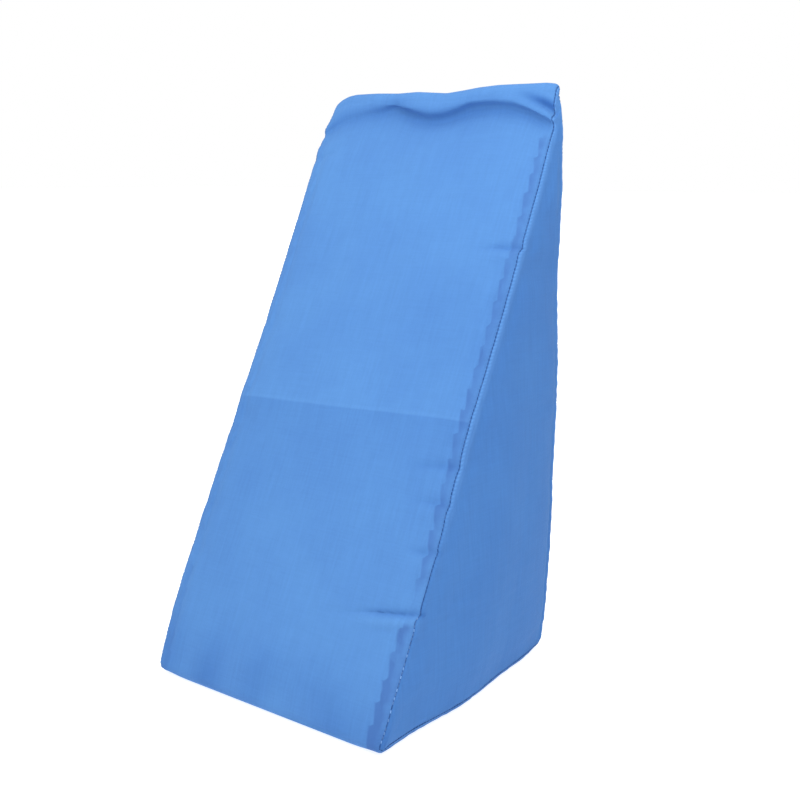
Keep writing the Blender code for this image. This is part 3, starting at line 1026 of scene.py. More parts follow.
@dataclass
class CushionBody:
    """The covered cushion: one closed piece with the wrap's cloth and the side panels' cloth."""

    form: CoverForm = field(default_factory=CoverForm)
    swell: ClothSwell = field(default_factory=ClothSwell)
    name: str = "wedge_cushion"
    seam_map: str = "seam_mm"
    run_map: str = "run_mm"
    cloth_map: str = "cloth"
    painted_light_map: str = "tone"
    fill: float = 0.9
    cap: float = 3.0
    back_cap: float = 1.0
    fade: float = 14.0

    def __post_init__(self) -> None:
        """Work out the cover, swell it and keep the seams' lines."""
        around, self.seam_ring = self.form.grid()
        right = self.form.cap(around[:, -1], Side.RIGHT)
        cover = Cover(around, right, self.form.cap(around[:, 0], Side.LEFT))
        self.seam = self.seam_cover(cover)
        self.cover = self.swelled(cover)

    def seam_cover(self, cover: Cover) -> Cover:
        """Signed distance from the side seam: below 0 on the wrap, above 0 on the side panels.

        On a side it is the least distance to the three edges' lines plus the rounded edge's arc.

        Args:
            cover: The cover's points.

        Returns:
            The distances.
        """
        section, radius = self.form.section, self.form.edge_radius
        arc = radius * math.radians(90.0 - self.form.seam_angle)
        base_arc = radius * math.radians(90.0 - self.form.base_seam_angle)
        sides = []
        for grid in (cover.right, cover.left):
            deep, high = grid[..., 1] - self.form.shift[1], grid[..., 2]
            to_slope = (deep + section.depth / 2.0) * section.up_slope[1]
            to_slope = to_slope - high * section.up_slope[0]
            least = arc + np.maximum(np.minimum(to_slope, section.depth / 2.0 - deep) - radius, 0.0)
            sides.append(np.minimum(least, base_arc + np.maximum(high - radius, 0.0)))
        return Cover(self.seam_ring, *sides)

    def painted_light_cover(self) -> Cover:
        """How much lighter or darker the cloth is painted than its plain colour, as a share:
        painted light and shade.

        Below the crease the slope is painted darker as shade, and along the crease runs a painted
        highlight. Over the foot, towards the left, in the trough and in the deepest folds it is
        painted a little darker as shade, and on the lip lighter as painted light.

        Returns:
            The shares, 0 on the sides.
        """
        form, slope = self.form, self.form.section.up_slope
        across, deep, high = (self.cover.around[..., axis] for axis in range(3))
        deep = deep - form.shift[1]
        up = (deep + form.section.depth / 2.0) * slope[0] + high * slope[1]
        below = form.crease_at(across) - up
        # Painted highlight along the crease, and painted shade below it and beside it.
        ridge = 0.085 * bell(below, 1.1) * smooth_step((across + 130.0) / 30.0)
        below_crease_shade = -0.075 * smooth_step(below / 2.5) * (1.0 - smooth_step(below / 150.0))
        beside = np.exp(-np.abs(below) / 13.0) * smooth_step((across + 130.0) / 20.0)
        below_crease_shade = below_crease_shade + beside * (0.02 - 0.06 * smooth_step(below / 1.5))
        uneven = 1.0 + 0.4 * soft_noise(across, up, 60.0, 51)
        # Painted shade over the foot, towards the left, and on the right at mid height.
        foot = -0.12 * (1.0 - smooth_step((up - 10.0) / 75.0)) * uneven
        left = -0.06 * smooth_step((-across - 10.0) / 110.0) * smooth_step((420.0 - up) / 300.0)
        left = left - 0.07 * bell(up - 335.0, 60.0) * smooth_step((across - 10.0) / 70.0)
        # Painted shade in the trough under the lip, and painted light on the lip.
        under = up - form.trough_at(across)
        reach = np.where(under < 0.0, 0.5 * read_trough(across, "tail") + 2.5, 5.0)
        hollow = -0.068 * read_trough(across, "depth") * np.exp(-np.abs(under) / reach)
        lip = 0.06 * smooth_step((under - 5.0) / 8.0) * smooth_step((100.0 - across) / 60.0)
        # Painted shade in the folds' hollows and painted highlight on their ridges.
        fold_shade = sum(
            strength * form.fold_height(across, up, FOLDS[place]) for place, strength in FOLD_PAINTED_SHADE
        )
        weight = form.section.lip_share[:, None] * (form.section.face >= Face.TIP.value)[:, None]
        tone = weight * (ridge + below_crease_shade + foot + left + hollow + lip + fold_shade)
        return Cover(tone, *(np.zeros(grid.shape[:2]) for grid in self.cover.grids()[1:]))

    def run_cover(self) -> Cover:
        """Distance round the section, carried on from the slope's edge over the sides.

        Returns:
            The distances.
        """
        around = np.broadcast_to(self.form.section.around[:-1, None], self.seam_ring.shape)
        wide, tall = self.form.section.depth_steps, self.form.section.height_steps
        on_slope = np.zeros(tall + 1)
        on_slope[tall:0:-1] = around[2 * wide + tall :, 0]
        on_slope[0] = self.form.section.around[-1]
        side = np.broadcast_to(on_slope, (wide + 1, tall + 1))
        return Cover(around, side, side)

    def swelled(self, cover: Cover) -> Cover:
        """Swell the cover, with the movement capped and faded out at the seams, base and tip.

        The movement m becomes cap * tanh(m / cap), times eases that are 0 at what is held.

        Args:
            cover: The cover's points.

        Returns:
            The swelled cover.
        """
        factor = self.swell.factor
        coarse = cover.coarse(factor)
        high = coarse.flat()[:, 2]
        seam = self.seam.coarse(factor).flat()
        held = (np.abs(seam) < 1.0) | (high < 2.0) | (high > self.form.section.height - 22.0)
        moved = coarse.taken(self.swell.run(coarse, held))
        LOG.info("cover swelled by up to %.1f mm", float(np.abs(moved.around).max()))

        fields = []
        grids = zip(cover.grids(), moved.grids(), self.seam.grids(), (True, False, False))
        back_from = self.form.section.depth / 2.0 + self.form.shift[1] - 5.0
        for points, amount, seam, closed in grids:
            amount = upsampled(upsampled(amount, factor, closed).T, factor, False).T
            cap = np.where((points[..., 1] > back_from) & (seam < 0), self.back_cap, self.cap)
            ease = smooth_step((np.abs(seam) - 4.7) / self.fade)
            ease = ease * smooth_step((points[..., 2] - 1.5) / 40.0)
            ease = ease * smooth_step((self.form.section.height - 25.0 - points[..., 2]) / 50.0)
            fields.append(cap * np.tanh(amount / cap) * ease)
        points = cover.flat()
        faces, _ = cover.faces()
        moves = Cover(*fields).flat()
        return cover.taken(points + point_normals(points, faces) * moves[:, None])

    def cloth_coordinates(self) -> np.ndarray:
        """Where each point lies on its flat cloth, in metres.

        Returns:
            Across and around on the wrap, or depth and height on a side, in the points' order.
        """
        around = np.broadcast_to(self.form.section.around[:-1, None], self.seam_ring.shape)
        wrap = np.stack([self.cover.around[..., 0], around], axis=-1)
        ring, right, left = (grid[..., 1:] for grid in self.cover.grids())
        ring = np.where((self.seam_ring <= 0.0)[..., None], wrap, ring)
        return Cover(ring, right, left).flat() * MM

    def build(
        self, wrap_cloth: bpy.types.Material, shaded_side_cloth: bpy.types.Material
    ) -> bpy.types.Object:
        """Args:
            wrap_cloth: Finish of the wrap.
            shaded_side_cloth: Finish of the side panels, painted darker than the wrap's as shade.

        Returns:
            The piece.
        """
        points = self.cover.flat() * MM
        faces, column = self.cover.faces()
        mesh = new_mesh(self.name, points, faces)
        mesh.materials.append(wrap_cloth)
        mesh.materials.append(shaded_side_cloth)
        steps = self.form.edge_steps // 2
        last = self.cover.around.shape[1] - 1 - steps
        on_side = (column < steps) | (column >= last)
        mesh.polygons.foreach_set("material_index", on_side.astype(np.int32))
        # The third map holds the painted light and shade for the cloth's colour.
        for name, values in (
            (self.seam_map, self.seam),
            (self.run_map, self.run_cover()),
            (self.painted_light_map, self.painted_light_cover()),
        ):
            layer = mesh.attributes.new(name, "FLOAT", "POINT")
            layer.data.foreach_set("value", values.flat().astype(np.float32))
        loops = np.empty(len(mesh.loops), dtype=np.int32)
        mesh.loops.foreach_get("vertex_index", loops)
        layer = mesh.uv_layers.new(name=self.cloth_map)
        layer.data.foreach_set("uv", self.cloth_coordinates()[loops].astype(np.float32).ravel())
        piece = linked(self.name, mesh)
        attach(piece, "root")
        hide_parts("wrap", "side_panel_right", "side_panel_left")
        return piece


@dataclass
class SeamStitches:
    """The lock stitches in the groove of one side seam: short rounded lengths of thread."""

    side: Side
    pitch: float = 3.25
    length: float = 2.35
    radius: float = 0.42
    sides: int = 6
    rise: float = 0.12
    slant: float = 7.0
    painted_light_map: str = "thread_painted_shade"
    pale_below: float = 93.0
    base_below: float = 7.0
    profile: tuple = ((-1.0, 0.35), (-0.72, 0.92), (0.0, 1.0), (0.72, 0.92), (1.0, 0.35))

    def name(self) -> str:
        """The piece's name."""
        return f"seam_stitches_{self.side.name.lower()}"

    def painted_thread_shade(self, centre: np.ndarray, at: np.ndarray) -> np.ndarray:
        """How pale each stitch is painted: pulled deep and dark with painted shade high up, lying
        open and pale with painted highlight low down.

        Args:
            centre: The stitches' middles.
            at: Their distances along the seam.

        Returns:
            0 for dark to 1 for pale.
        """
        pale = 1.0 - smooth_step((centre[:, 2] - self.pale_below) / 6.0)
        uneven = 0.2 * soft_noise(at, np.zeros_like(at), 5.0, 41)
        tone = np.clip(0.06 + (0.44 + 1.7 * uneven) * pale + 0.3 * uneven, 0.0, 1.0)
        # Stitches next to the floor are painted dark, as shade.
        return np.where(centre[:, 2] < self.base_below, 0.0, tone)

    def build(self, body: CushionBody, thread: bpy.types.Material) -> bpy.types.Object:
        """Make the stitches.

        The seam's line is resampled at the pitch, and each stitch is a ring profile carried along
        it: centre + along * s * length / 2 + radius * r(s) * (cos a * out + sin a * over).

        Args:
            body: The cushion that the seam lies on.
            thread: Finish of the thread.

        Returns:
            The piece.
        """
        steps = body.form.edge_steps // 2
        column = steps if self.side is Side.LEFT else body.cover.around.shape[1] - 1 - steps
        points = body.cover.flat()
        faces, _ = body.cover.faces()
        normals = body.cover.taken(point_normals(points, faces)).around[:, column]
        line = body.cover.around[:, column]
        line, normals = np.concatenate([line, line[:1]]), np.concatenate([normals, normals[:1]])
        run = running(line)
        count = int(run[-1] / self.pitch)
        at = (np.arange(count) + 0.5) * run[-1] / count
        start = read_line(line, run, at - self.length / 2.0)
        end = read_line(line, run, at + self.length / 2.0)
        out = read_line(normals, run, at)
        along = (end - start) / np.linalg.norm(end - start, axis=1, keepdims=True)
        out = out - np.sum(out * along, axis=1, keepdims=True) * along
        out = out / np.linalg.norm(out, axis=1, keepdims=True)
        over = np.cross(along, out)
        turn = math.radians(self.slant) * -self.side.value
        along, over = (
            math.cos(turn) * along + math.sin(turn) * over,
            math.cos(turn) * over - math.sin(turn) * along,
        )
        centre = (start + end) / 2.0 + out * self.rise
        turn = np.arange(self.sides) * 2.0 * math.pi / self.sides
        place, width = np.array(self.profile).T[..., None, None]
        ring = np.cos(turn)[:, None] * out[:, None, None, :]
        ring = ring + np.sin(turn)[:, None] * over[:, None, None, :]
        spot = centre[:, None, None, :] + along[:, None, None, :] * place * self.length / 2.0
        verts = spot + ring * width * self.radius

        rings = len(self.profile)
        number = np.arange(rings * self.sides).reshape(rings, self.sides)
        tube = quads(np.concatenate([number, number[:, :1]], axis=1))[:, ::-1]
        end = np.array([(3, 2, 1, 0), (5, 4, 3, 0)])
        one = np.concatenate([tube, number[0][end], number[-1][end[:, ::-1]]])
        every = one[None] + (np.arange(count) * rings * self.sides)[:, None, None]
        mesh = new_mesh(self.name(), verts.reshape(-1, 3) * MM, every.reshape(-1, 4))
        mesh.materials.append(thread)
        tone = np.repeat(self.painted_thread_shade(centre, at), rings * self.sides).astype(np.float32)
        mesh.attributes.new(self.painted_light_map, "FLOAT", "POINT").data.foreach_set("value", tone)
        piece = linked(self.name(), mesh)
        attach(piece, "root")
        LOG.info("%s: %d stitches", self.name(), count)
        return piece


@dataclass
class NodeSheet:
    """Adds nodes to one tree and joins them."""

    tree: bpy.types.NodeTree

    def add(self, kind: str, values: dict | None = None, **settings: object) -> bpy.types.Node:
        """Add a node.

        Args:
            kind: The node's type.
            values: For each named input, a value or the socket that feeds it.
            settings: The node's own settings.

        Returns:
            The node.
        """
        node = self.tree.nodes.new(kind)
        for name, value in settings.items():
            setattr(node, name, value)
        return self.fill(node, values or {})

    def fill(self, node: bpy.types.Node, values: dict) -> bpy.types.Node:
        """Feed a node's named inputs with values or sockets."""
        for name, value in values.items():
            self.feed(node.inputs[name], value)
        return node

    def feed(self, socket: bpy.types.NodeSocket, value: object) -> None:
        """Link a socket, or set it to a value."""
        if isinstance(value, bpy.types.NodeSocket):
            self.tree.links.new(value, socket)
        else:
            socket.default_value = value

    def maths(self, operation: str, *values: object, clamp: bool = False) -> bpy.types.NodeSocket:
        """A Math node.

        Args:
            operation: What it works out.
            values: Its inputs, numbers or sockets.
            clamp: Whether the result is held between 0 and 1.

        Returns:
            The result.
        """
        node = self.add("ShaderNodeMath", operation=operation, use_clamp=clamp)
        for index, value in enumerate(values):
            self.feed(node.inputs[index], value)
        return node.outputs[0]

    def times(self, first: object, second: object) -> bpy.types.NodeSocket:
        """The product of two values."""
        return self.maths("MULTIPLY", first, second)

    def scaled(self, value: object, factor: object, more: object) -> bpy.types.NodeSocket:
        """value * factor + more."""
        return self.maths("MULTIPLY_ADD", value, factor, more)

    def attribute(self, name: str) -> bpy.types.NodeSocket:
        """The value of one of the mesh's maps."""
        return self.add("ShaderNodeAttribute", attribute_name=name).outputs["Fac"]

    def bumps(self, shader: bpy.types.Node, layers: tuple) -> None:
        """Feed a shader's normal with bumps laid over one another.

        Args:
            shader: The shader.
            layers: (strength, distance, height) for each, the lowest first.
        """
        under = {}
        for strength, distance, height in layers:
            values = {"Strength": strength, "Distance": distance, "Height": height, **under}
            under = {"Normal": self.add("ShaderNodeBump", values).outputs[0]}
        self.fill(shader, under)

    def eased(self, value: object, low: float, high: float) -> bpy.types.NodeSocket:
        """A mask that rises smoothly from 0 at low to 1 at high.

        Args:
            value: The value to read.
            low: Where the mask is 0.
            high: Where the mask is 1.

        Returns:
            The mask.
        """
        node = self.add("ShaderNodeMapRange", interpolation_type="SMOOTHSTEP")
        for index, given in enumerate((value, low, high, 0.0, 1.0)):
            self.feed(node.inputs[index], given)
        return node.outputs[0]

    def fallen(self, value: object, low: float, high: float) -> bpy.types.NodeSocket:
        """A mask that falls smoothly from 1 at low to 0 at high."""
        return self.maths("SUBTRACT", 1.0, self.eased(value, low, high))

    def mix(
        self, share: object, first: object, second: object, blend: str = "MIX"
    ) -> bpy.types.NodeSocket:
        """Mix two colours.

        Args:
            share: How much of the second.
            first: The first colour.
            second: The second colour.
            blend: How they are mixed.

        Returns:
            The mixed colour.
        """
        node = self.add("ShaderNodeMix", data_type="RGBA", blend_type=blend)
        for index, given in ((0, share), (6, first), (7, second)):
            self.feed(node.inputs[index], given)
        return node.outputs[2]

    def noise(self, place: object, scale: float, detail: float = 2.0) -> bpy.types.NodeSocket:
        """A noise's value.

        Args:
            place: Where it is read.
            scale: Its scale.
            detail: Its detail.

        Returns:
            The value, about 0.5 on average.
        """
        node = self.add("ShaderNodeTexNoise", {"Vector": place, "Scale": scale, "Detail": detail})
        return node.outputs["Fac"]

    def stretched(self, place: object, scale: tuple) -> bpy.types.NodeSocket:
        """A place stretched along its axes."""
        return self.add("ShaderNodeMapping", {"Vector": place, "Scale": scale}).outputs[0]

    def grey(self, value: object) -> bpy.types.NodeSocket:
        """A grey from a value."""
        values = {"Red": value, "Green": value, "Blue": value}
        return self.add("ShaderNodeCombineColor", values).outputs[0]


def new_surface(name: str) -> tuple:
    """A new material, its node sheet and its shader."""
    material = bpy.data.materials.new(name)
    material.use_nodes = True
    return material, NodeSheet(material.node_tree), material.node_tree.nodes["Principled BSDF"]


def new_group(name: str, inputs: tuple, outputs: tuple) -> tuple:
    """A shader node group with named sockets.

    Args:
        name: The group's name.
        inputs: (name, socket type, default or None) for each input.
        outputs: (name, socket type) for each output.

    Returns:
        The group's node sheet, what it is given and the sockets of its result.
    """
    tree = bpy.data.node_groups.new(name, "ShaderNodeTree")
    for socket_name, kind, default in inputs:
        socket = tree.interface.new_socket(socket_name, in_out="INPUT", socket_type=kind)
        if default is not None:
            socket.default_value = default
    for socket_name, kind in outputs:
        tree.interface.new_socket(socket_name, in_out="OUTPUT", socket_type=kind)
    sheet = NodeSheet(tree)
    return sheet, sheet.add("NodeGroupInput").outputs, sheet.add("NodeGroupOutput").inputs


FLOAT, VECTOR, COLOUR = "NodeSocketFloat", "NodeSocketVector", "NodeSocketColor"


@dataclass(frozen=True)
class WeaveGroup:
    """Plain weave with uneven threads: the height of the cloth and its streaks."""

    name: str = "plain_weave"

    def build(self) -> bpy.types.NodeTree:
        """Make the group.

        The threads are sin(2 pi u / pitch) * sin(2 pi v / pitch). The streaks are noise stretched
        along each thread's direction.

        Returns:
            The group.
        """
        sheet, given, result = new_group(
            self.name,
            (("Cloth", VECTOR, None), ("Pitch", FLOAT, 0.0006), ("Streak", FLOAT, 0.5)),
            (("Height", FLOAT), ("Streaks", FLOAT)),
        )
        parts = sheet.add("ShaderNodeSeparateXYZ", {"Vector": given["Cloth"]})
        waves = []
        for axis in ("X", "Y"):
            turns = sheet.maths("DIVIDE", parts.outputs[axis], given["Pitch"])
            waves.append(sheet.maths("SINE", sheet.times(turns, 2.0 * math.pi)))
        threads = sheet.times(waves[0], waves[1])
        slubs = sheet.maths("ADD", 0.0, -1.6)
        for scale, share in (
            ((520.0, 26.0, 1.0), 1.0),
            ((30.0, 620.0, 1.0), 0.7),
            ((230.0, 9.0, 1.0), 0.6),
            ((650.0, 650.0, 1.0), 0.6),
        ):
            noise = sheet.noise(sheet.stretched(given["Cloth"], scale), 1.0)
            slubs = sheet.scaled(noise, share, slubs)
        streaks = sheet.times(slubs, given["Streak"])
        height = sheet.maths("ADD", sheet.times(threads, 0.35), streaks)
        sheet.feed(result["Height"], height)
        sheet.feed(result["Streaks"], streaks)
        return sheet.tree


@dataclass(frozen=True)
class CloudGroup:
    """Broad soft unevenness of tone and small soft lumps in the cloth."""

    name: str = "soft_unevenness"

    def build(self) -> bpy.types.NodeTree:
        """Make the group: noise at two scales for the tone, and at a finer one for the lumps.

        Returns:
            The group.
        """
        sheet, given, result = new_group(
            self.name,
            (("Place", VECTOR, None), ("Broad", FLOAT, 14.0), ("Fine", FLOAT, 90.0)),
            (("Tone", FLOAT), ("Lumps", FLOAT)),
        )
        broad = sheet.noise(given["Place"], given["Broad"], 3.0)
        fine = sheet.noise(given["Place"], given["Fine"], 4.0)
        tone = sheet.maths("ADD", sheet.times(broad, 0.7), sheet.times(fine, 0.3))
        sheet.feed(result["Tone"], tone)
        sheet.feed(result["Lumps"], fine)
        return sheet.tree


@dataclass(frozen=True)
class LintGroup:
    """A few pale specks of lint and a few darker ones."""

    name: str = "lint_specks"

    def build(self) -> bpy.types.NodeTree:
        """Make the group: small dots at the middles of a few random cells.

        Returns:
            The group.
        """
        sheet, given, result = new_group(
            self.name,
            (("Place", VECTOR, None), ("Cells", FLOAT, 31.0), ("Size", FLOAT, 0.016)),
            (("Pale", FLOAT), ("Dark", FLOAT)),
        )
        cells = sheet.add(
            "ShaderNodeTexVoronoi", {"Vector": given["Place"], "Scale": given["Cells"]}
        )
        near = sheet.maths("LESS_THAN", cells.outputs["Distance"], given["Size"])
        draw = sheet.add("ShaderNodeSeparateColor", {"Color": cells.outputs["Color"]})
        pale = sheet.maths("GREATER_THAN", draw.outputs[0], 0.955)
        dark = sheet.maths("LESS_THAN", draw.outputs[0], 0.05)
        sheet.feed(result["Pale"], sheet.times(near, pale))
        sheet.feed(result["Dark"], sheet.times(near, dark))
        return sheet.tree


@dataclass(frozen=True)
class SeamGroup:
    """Masks along the seams: the line of painted shade in the seam's gap, the allowance's band,
    the turned edge's painted highlight, the stitches.
    """

    name: str = "beside_the_seam"

    def build(self) -> bpy.types.NodeTree:
        """Make the group.

        The masks are eased bands of the distance from the seam, with edges that wander. The band's
        width is a saw along the seam, 19 mm a tooth, wider low down and gone at the tip. The ripple
        is a sine along the seam at the stitches' pitch, slanted and faded within a few millimetres.

        Returns:
            The group.
        """
        sheet, given, result = new_group(
            self.name,
            (
                ("Place", VECTOR, None),
                ("Seam", FLOAT, 0.0),
                ("Run", FLOAT, 0.0),
                ("Pitch", FLOAT, 3.25),
            ),
            (("Line", FLOAT), ("Band", FLOAT), ("Highlight", FLOAT), ("Ripple", FLOAT)),
        )
        seam = given["Seam"]
        off = sheet.maths("ABSOLUTE", seam)
        parts = sheet.add("ShaderNodeSeparateXYZ", {"Vector": given["Place"]}).outputs
        deep, high = parts["Y"], parts["Z"]
        wander = sheet.maths("SUBTRACT", sheet.noise(given["Place"], 80.0, 3.0), 0.5)

        # Painted shade along the seam's gap: stronger low down, weaker next to the floor away from
        # the front.
        line = sheet.scaled(sheet.fallen(high, 0.10, 0.16), 0.55, 0.3)
        behind = sheet.eased(deep, -0.105, -0.065)
        under = sheet.times(sheet.fallen(high, 0.004, 0.009), behind)
        line = sheet.times(line, sheet.scaled(under, -0.8, 1.0))
        sheet.feed(result["Line"], sheet.times(line, sheet.fallen(off, 0.12, 0.7)))

        along = sheet.scaled(wander, 14.0, given["Run"])
        saw = sheet.maths("FRACT", sheet.maths("DIVIDE", along, 19.0))
        saw = sheet.maths("SUBTRACT", sheet.eased(saw, 0.80, 1.0), saw)
        width = sheet.scaled(saw, 4.0, 10.8)
        width = sheet.maths("ADD", width, sheet.times(sheet.fallen(high, 0.08, 0.10), 3.5))
        width = sheet.scaled(wander, 3.0, width)
        share = sheet.maths("DIVIDE", sheet.times(seam, -1.0), width)
        shaded = sheet.scaled(sheet.eased(share, 0.1, 0.8), 0.5, 0.5)
        patches = sheet.eased(sheet.noise(given["Place"], 75.0, 1.0), 0.34, 0.62)
        patches = sheet.scaled(patches, 0.45, 0.55)
        gap = sheet.times(sheet.eased(high, 0.089, 0.095), sheet.fallen(high, 0.108, 0.125))
        patches = sheet.times(patches, sheet.scaled(gap, -0.8, 1.0))
        patches = sheet.times(patches, sheet.fallen(high, 0.448, 0.462))
        low = sheet.scaled(sheet.fallen(high, 0.08, 0.10), 0.4, 0.9)
        patches = sheet.times(patches, low)
        band = sheet.times(sheet.fallen(share, 0.84, 1.06), sheet.fallen(seam, -1.0, 0.0))
        band = sheet.times(band, shaded)
        towards_right = sheet.eased(parts["X"], -0.02, 0.02)
        band = sheet.times(band, sheet.scaled(towards_right, 0.75, 0.25))
        sheet.feed(result["Band"], sheet.times(band, patches))

        # Painted highlight on the side panel's edge turned over beside the seam, above the lowest
        # 12 cm.
        edge = sheet.scaled(wander, 3.0, seam)
        turned = sheet.times(sheet.eased(seam, 0.3, 1.0), sheet.fallen(edge, 1.0, 8.0))
        turned = sheet.times(turned, sheet.eased(high, 0.12, 0.20))
        sheet.feed(result["Highlight"], turned)
        slanted = sheet.maths("ADD", given["Run"], sheet.times(seam, 0.6))
        turns = sheet.maths("DIVIDE", slanted, given["Pitch"])
        ripple = sheet.maths("SINE", sheet.times(turns, 2.0 * math.pi))
        sheet.feed(result["Ripple"], sheet.times(ripple, sheet.fallen(off, 1.5, 4.5)))
        return sheet.tree


@dataclass(frozen=True)
class ClothGroups:
    """The node groups that the cloths share."""

    weave: bpy.types.NodeTree
    clouds: bpy.types.NodeTree
    lint: bpy.types.NodeTree
    seam: bpy.types.NodeTree

    @classmethod
    def made(cls) -> "ClothGroups":
        """Build every group once."""
        kinds = (WeaveGroup, CloudGroup, LintGroup, SeamGroup)
        return cls(*(kind().build() for kind in kinds))


@dataclass(frozen=True)
class WovenCloth:
    """Smooth blue poly-cotton, as on the wrap and the side panels."""

    name: str
    colour: tuple
    deep_colour: tuple
    # Colour of the painted highlight on the turned edge beside the seam.
    edge_highlight_colour: tuple
    band_colour: tuple = (0.060, 0.158, 0.415, 1.0)
    # Colour of the painted shade along the seam's gap.
    seam_shade_colour: tuple = (0.022, 0.075, 0.26, 1.0)
    lint_colour: tuple = (0.50, 0.66, 0.92, 1.0)
    dark_lint_colour: tuple = (0.03, 0.09, 0.26, 1.0)
    pitch: float = 0.0007
    roughness: float = 0.82
    sheen: float = 0.06
    sheen_tint: tuple = (0.45, 0.68, 1.0, 1.0)
    streaks: float = 0.12
    # How strongly the painted light and shade change red, green and blue.
    painted_light_depths: tuple = (1.1, 0.85, 0.5)
    seam_map: str = "seam_mm"
    run_map: str = "run_mm"
    painted_light_map: str = "tone"
    cloth_map: str = "cloth"

    def build(self, groups: ClothGroups) -> bpy.types.Material:
        """Make the material.

        Args:
            groups: The shared node groups.

        Returns:
            The material.
        """
        material, sheet, shader = new_surface(self.name)
        place = sheet.add("ShaderNodeTexCoord").outputs["Object"]
        cloth = sheet.add("ShaderNodeUVMap", uv_map=self.cloth_map).outputs["UV"]
        lines = {
            "Place": place,
            "Seam": sheet.attribute(self.seam_map),
            "Run": sheet.attribute(self.run_map),
        }
        weave, clouds, lint, seam = (
            sheet.add("ShaderNodeGroup", values, node_tree=tree).outputs
            for tree, values in (
                (groups.weave, {"Cloth": cloth, "Pitch": self.pitch}),
                (groups.clouds, {"Place": place}),
                (groups.lint, {"Place": place}),
                (groups.seam, lines),
            )
        )

        tone = sheet.eased(clouds["Tone"], 0.30, 0.70)
        colour = sheet.mix(tone, self.deep_colour, self.colour)
        streaks = sheet.maths("MULTIPLY_ADD", weave["Streaks"], self.streaks, 0.5, clamp=True)
        colour = sheet.mix(1.0, colour, sheet.grey(streaks), "OVERLAY")
        colour = sheet.mix(seam["Band"], colour, self.band_colour)
        # Painted light and shade from the mesh's map multiply the colour, most in red and least in
        # blue.
        tone = sheet.attribute(self.painted_light_map)
        parts = [sheet.scaled(tone, depth, 1.0) for depth in self.painted_light_depths]
        parts = dict(zip(("Red", "Green", "Blue"), parts))
        shade = sheet.add("ShaderNodeCombineColor", parts).outputs[0]
        colour = sheet.mix(1.0, colour, shade, "MULTIPLY")
        # Painted highlight on the turned edge, beaded by the ripple; then painted shade along the
        # seam's gap, and lint.
        turned = sheet.times(seam["Highlight"], sheet.scaled(seam["Ripple"], 0.2, 0.65))
        for share, over in (
            (turned, self.edge_highlight_colour),
            (seam["Line"], self.seam_shade_colour),
            (lint["Pale"], self.lint_colour),
            (sheet.times(lint["Dark"], 0.6), self.dark_lint_colour),
        ):
            colour = sheet.mix(share, colour, over)

        rough = sheet.maths("ADD", sheet.times(clouds["Lumps"], 0.10), self.roughness - 0.05)
        values = {
            "Base Color": colour,
            "Roughness": rough,
            "Metallic": 0.0,
            "Specular IOR Level": 0.12,
            "Sheen Tint": self.sheen_tint,
            "Sheen Weight": self.sheen,
            "Sheen Roughness": 0.5,
        }
        sheet.fill(shader, values)
        lumps, threads = (0.35, 0.0015, clouds["Lumps"]), (0.6, 0.00015, weave["Height"])
        sheet.bumps(shader, (lumps, threads, (0.35, 0.0002, seam["Ripple"])))
        return material


@dataclass(frozen=True)
class SewingThread:
    """Spun polyester thread in the cloth's blue."""

    name: str = "sewing_thread"
    # The thread's blue with painted highlight, and with painted shade.
    lit_thread_colour: tuple = (0.20, 0.38, 0.72, 1.0)
    shaded_thread_colour: tuple = (0.018, 0.062, 0.21, 1.0)
    roughness: float = 0.8
    painted_light_map: str = "thread_painted_shade"

    def build(self, groups: ClothGroups) -> bpy.types.Material:
        """Make the material: a shaded and a lit blue by each stitch's painted shade, uneven with
        the thread's twist.

        Args:
            groups: The shared node groups.

        Returns:
            The material.
        """
        material, sheet, shader = new_surface(self.name)
        place = sheet.add("ShaderNodeTexCoord").outputs["Object"]
        values = {"Place": place, "Broad": 900.0, "Fine": 2500.0}
        clouds = sheet.add("ShaderNodeGroup", values, node_tree=groups.clouds).outputs
        twist = sheet.times(sheet.maths("SUBTRACT", clouds["Tone"], 0.5), 0.5)
        tone = sheet.maths("ADD", sheet.attribute(self.painted_light_map), twist, clamp=True)
        values = {
            "Base Color": sheet.mix(tone, self.shaded_thread_colour, self.lit_thread_colour),
            "Roughness": self.roughness,
            "Specular IOR Level": 0.1,
        }
        sheet.fill(shader, values)
        sheet.bumps(shader, ((0.5, 0.0001, clouds["Lumps"]),))
        return material


def placing(across: np.ndarray, upward: np.ndarray, back: np.ndarray, spot: tuple) -> Matrix:
    """The matrix that stands something at a spot along three axes."""
    rows = np.stack([across, upward, back, spot], axis=1).tolist()
    return Matrix(rows + [[0.0, 0.0, 0.0, 1.0]])


def facing_matrix(back: np.ndarray, spot: tuple) -> Matrix:
    """A placing whose Z axis points along a direction and whose X axis is level.

    Args:
        back: The direction, of any length.
        spot: Where it stands.

    Returns:
        The matrix.
    """
    backward = back / np.linalg.norm(back)
    across = np.cross((0.0, 0.0, 1.0), backward)
    across = across / np.linalg.norm(across)
    return placing(across, np.cross(backward, across), backward, spot)


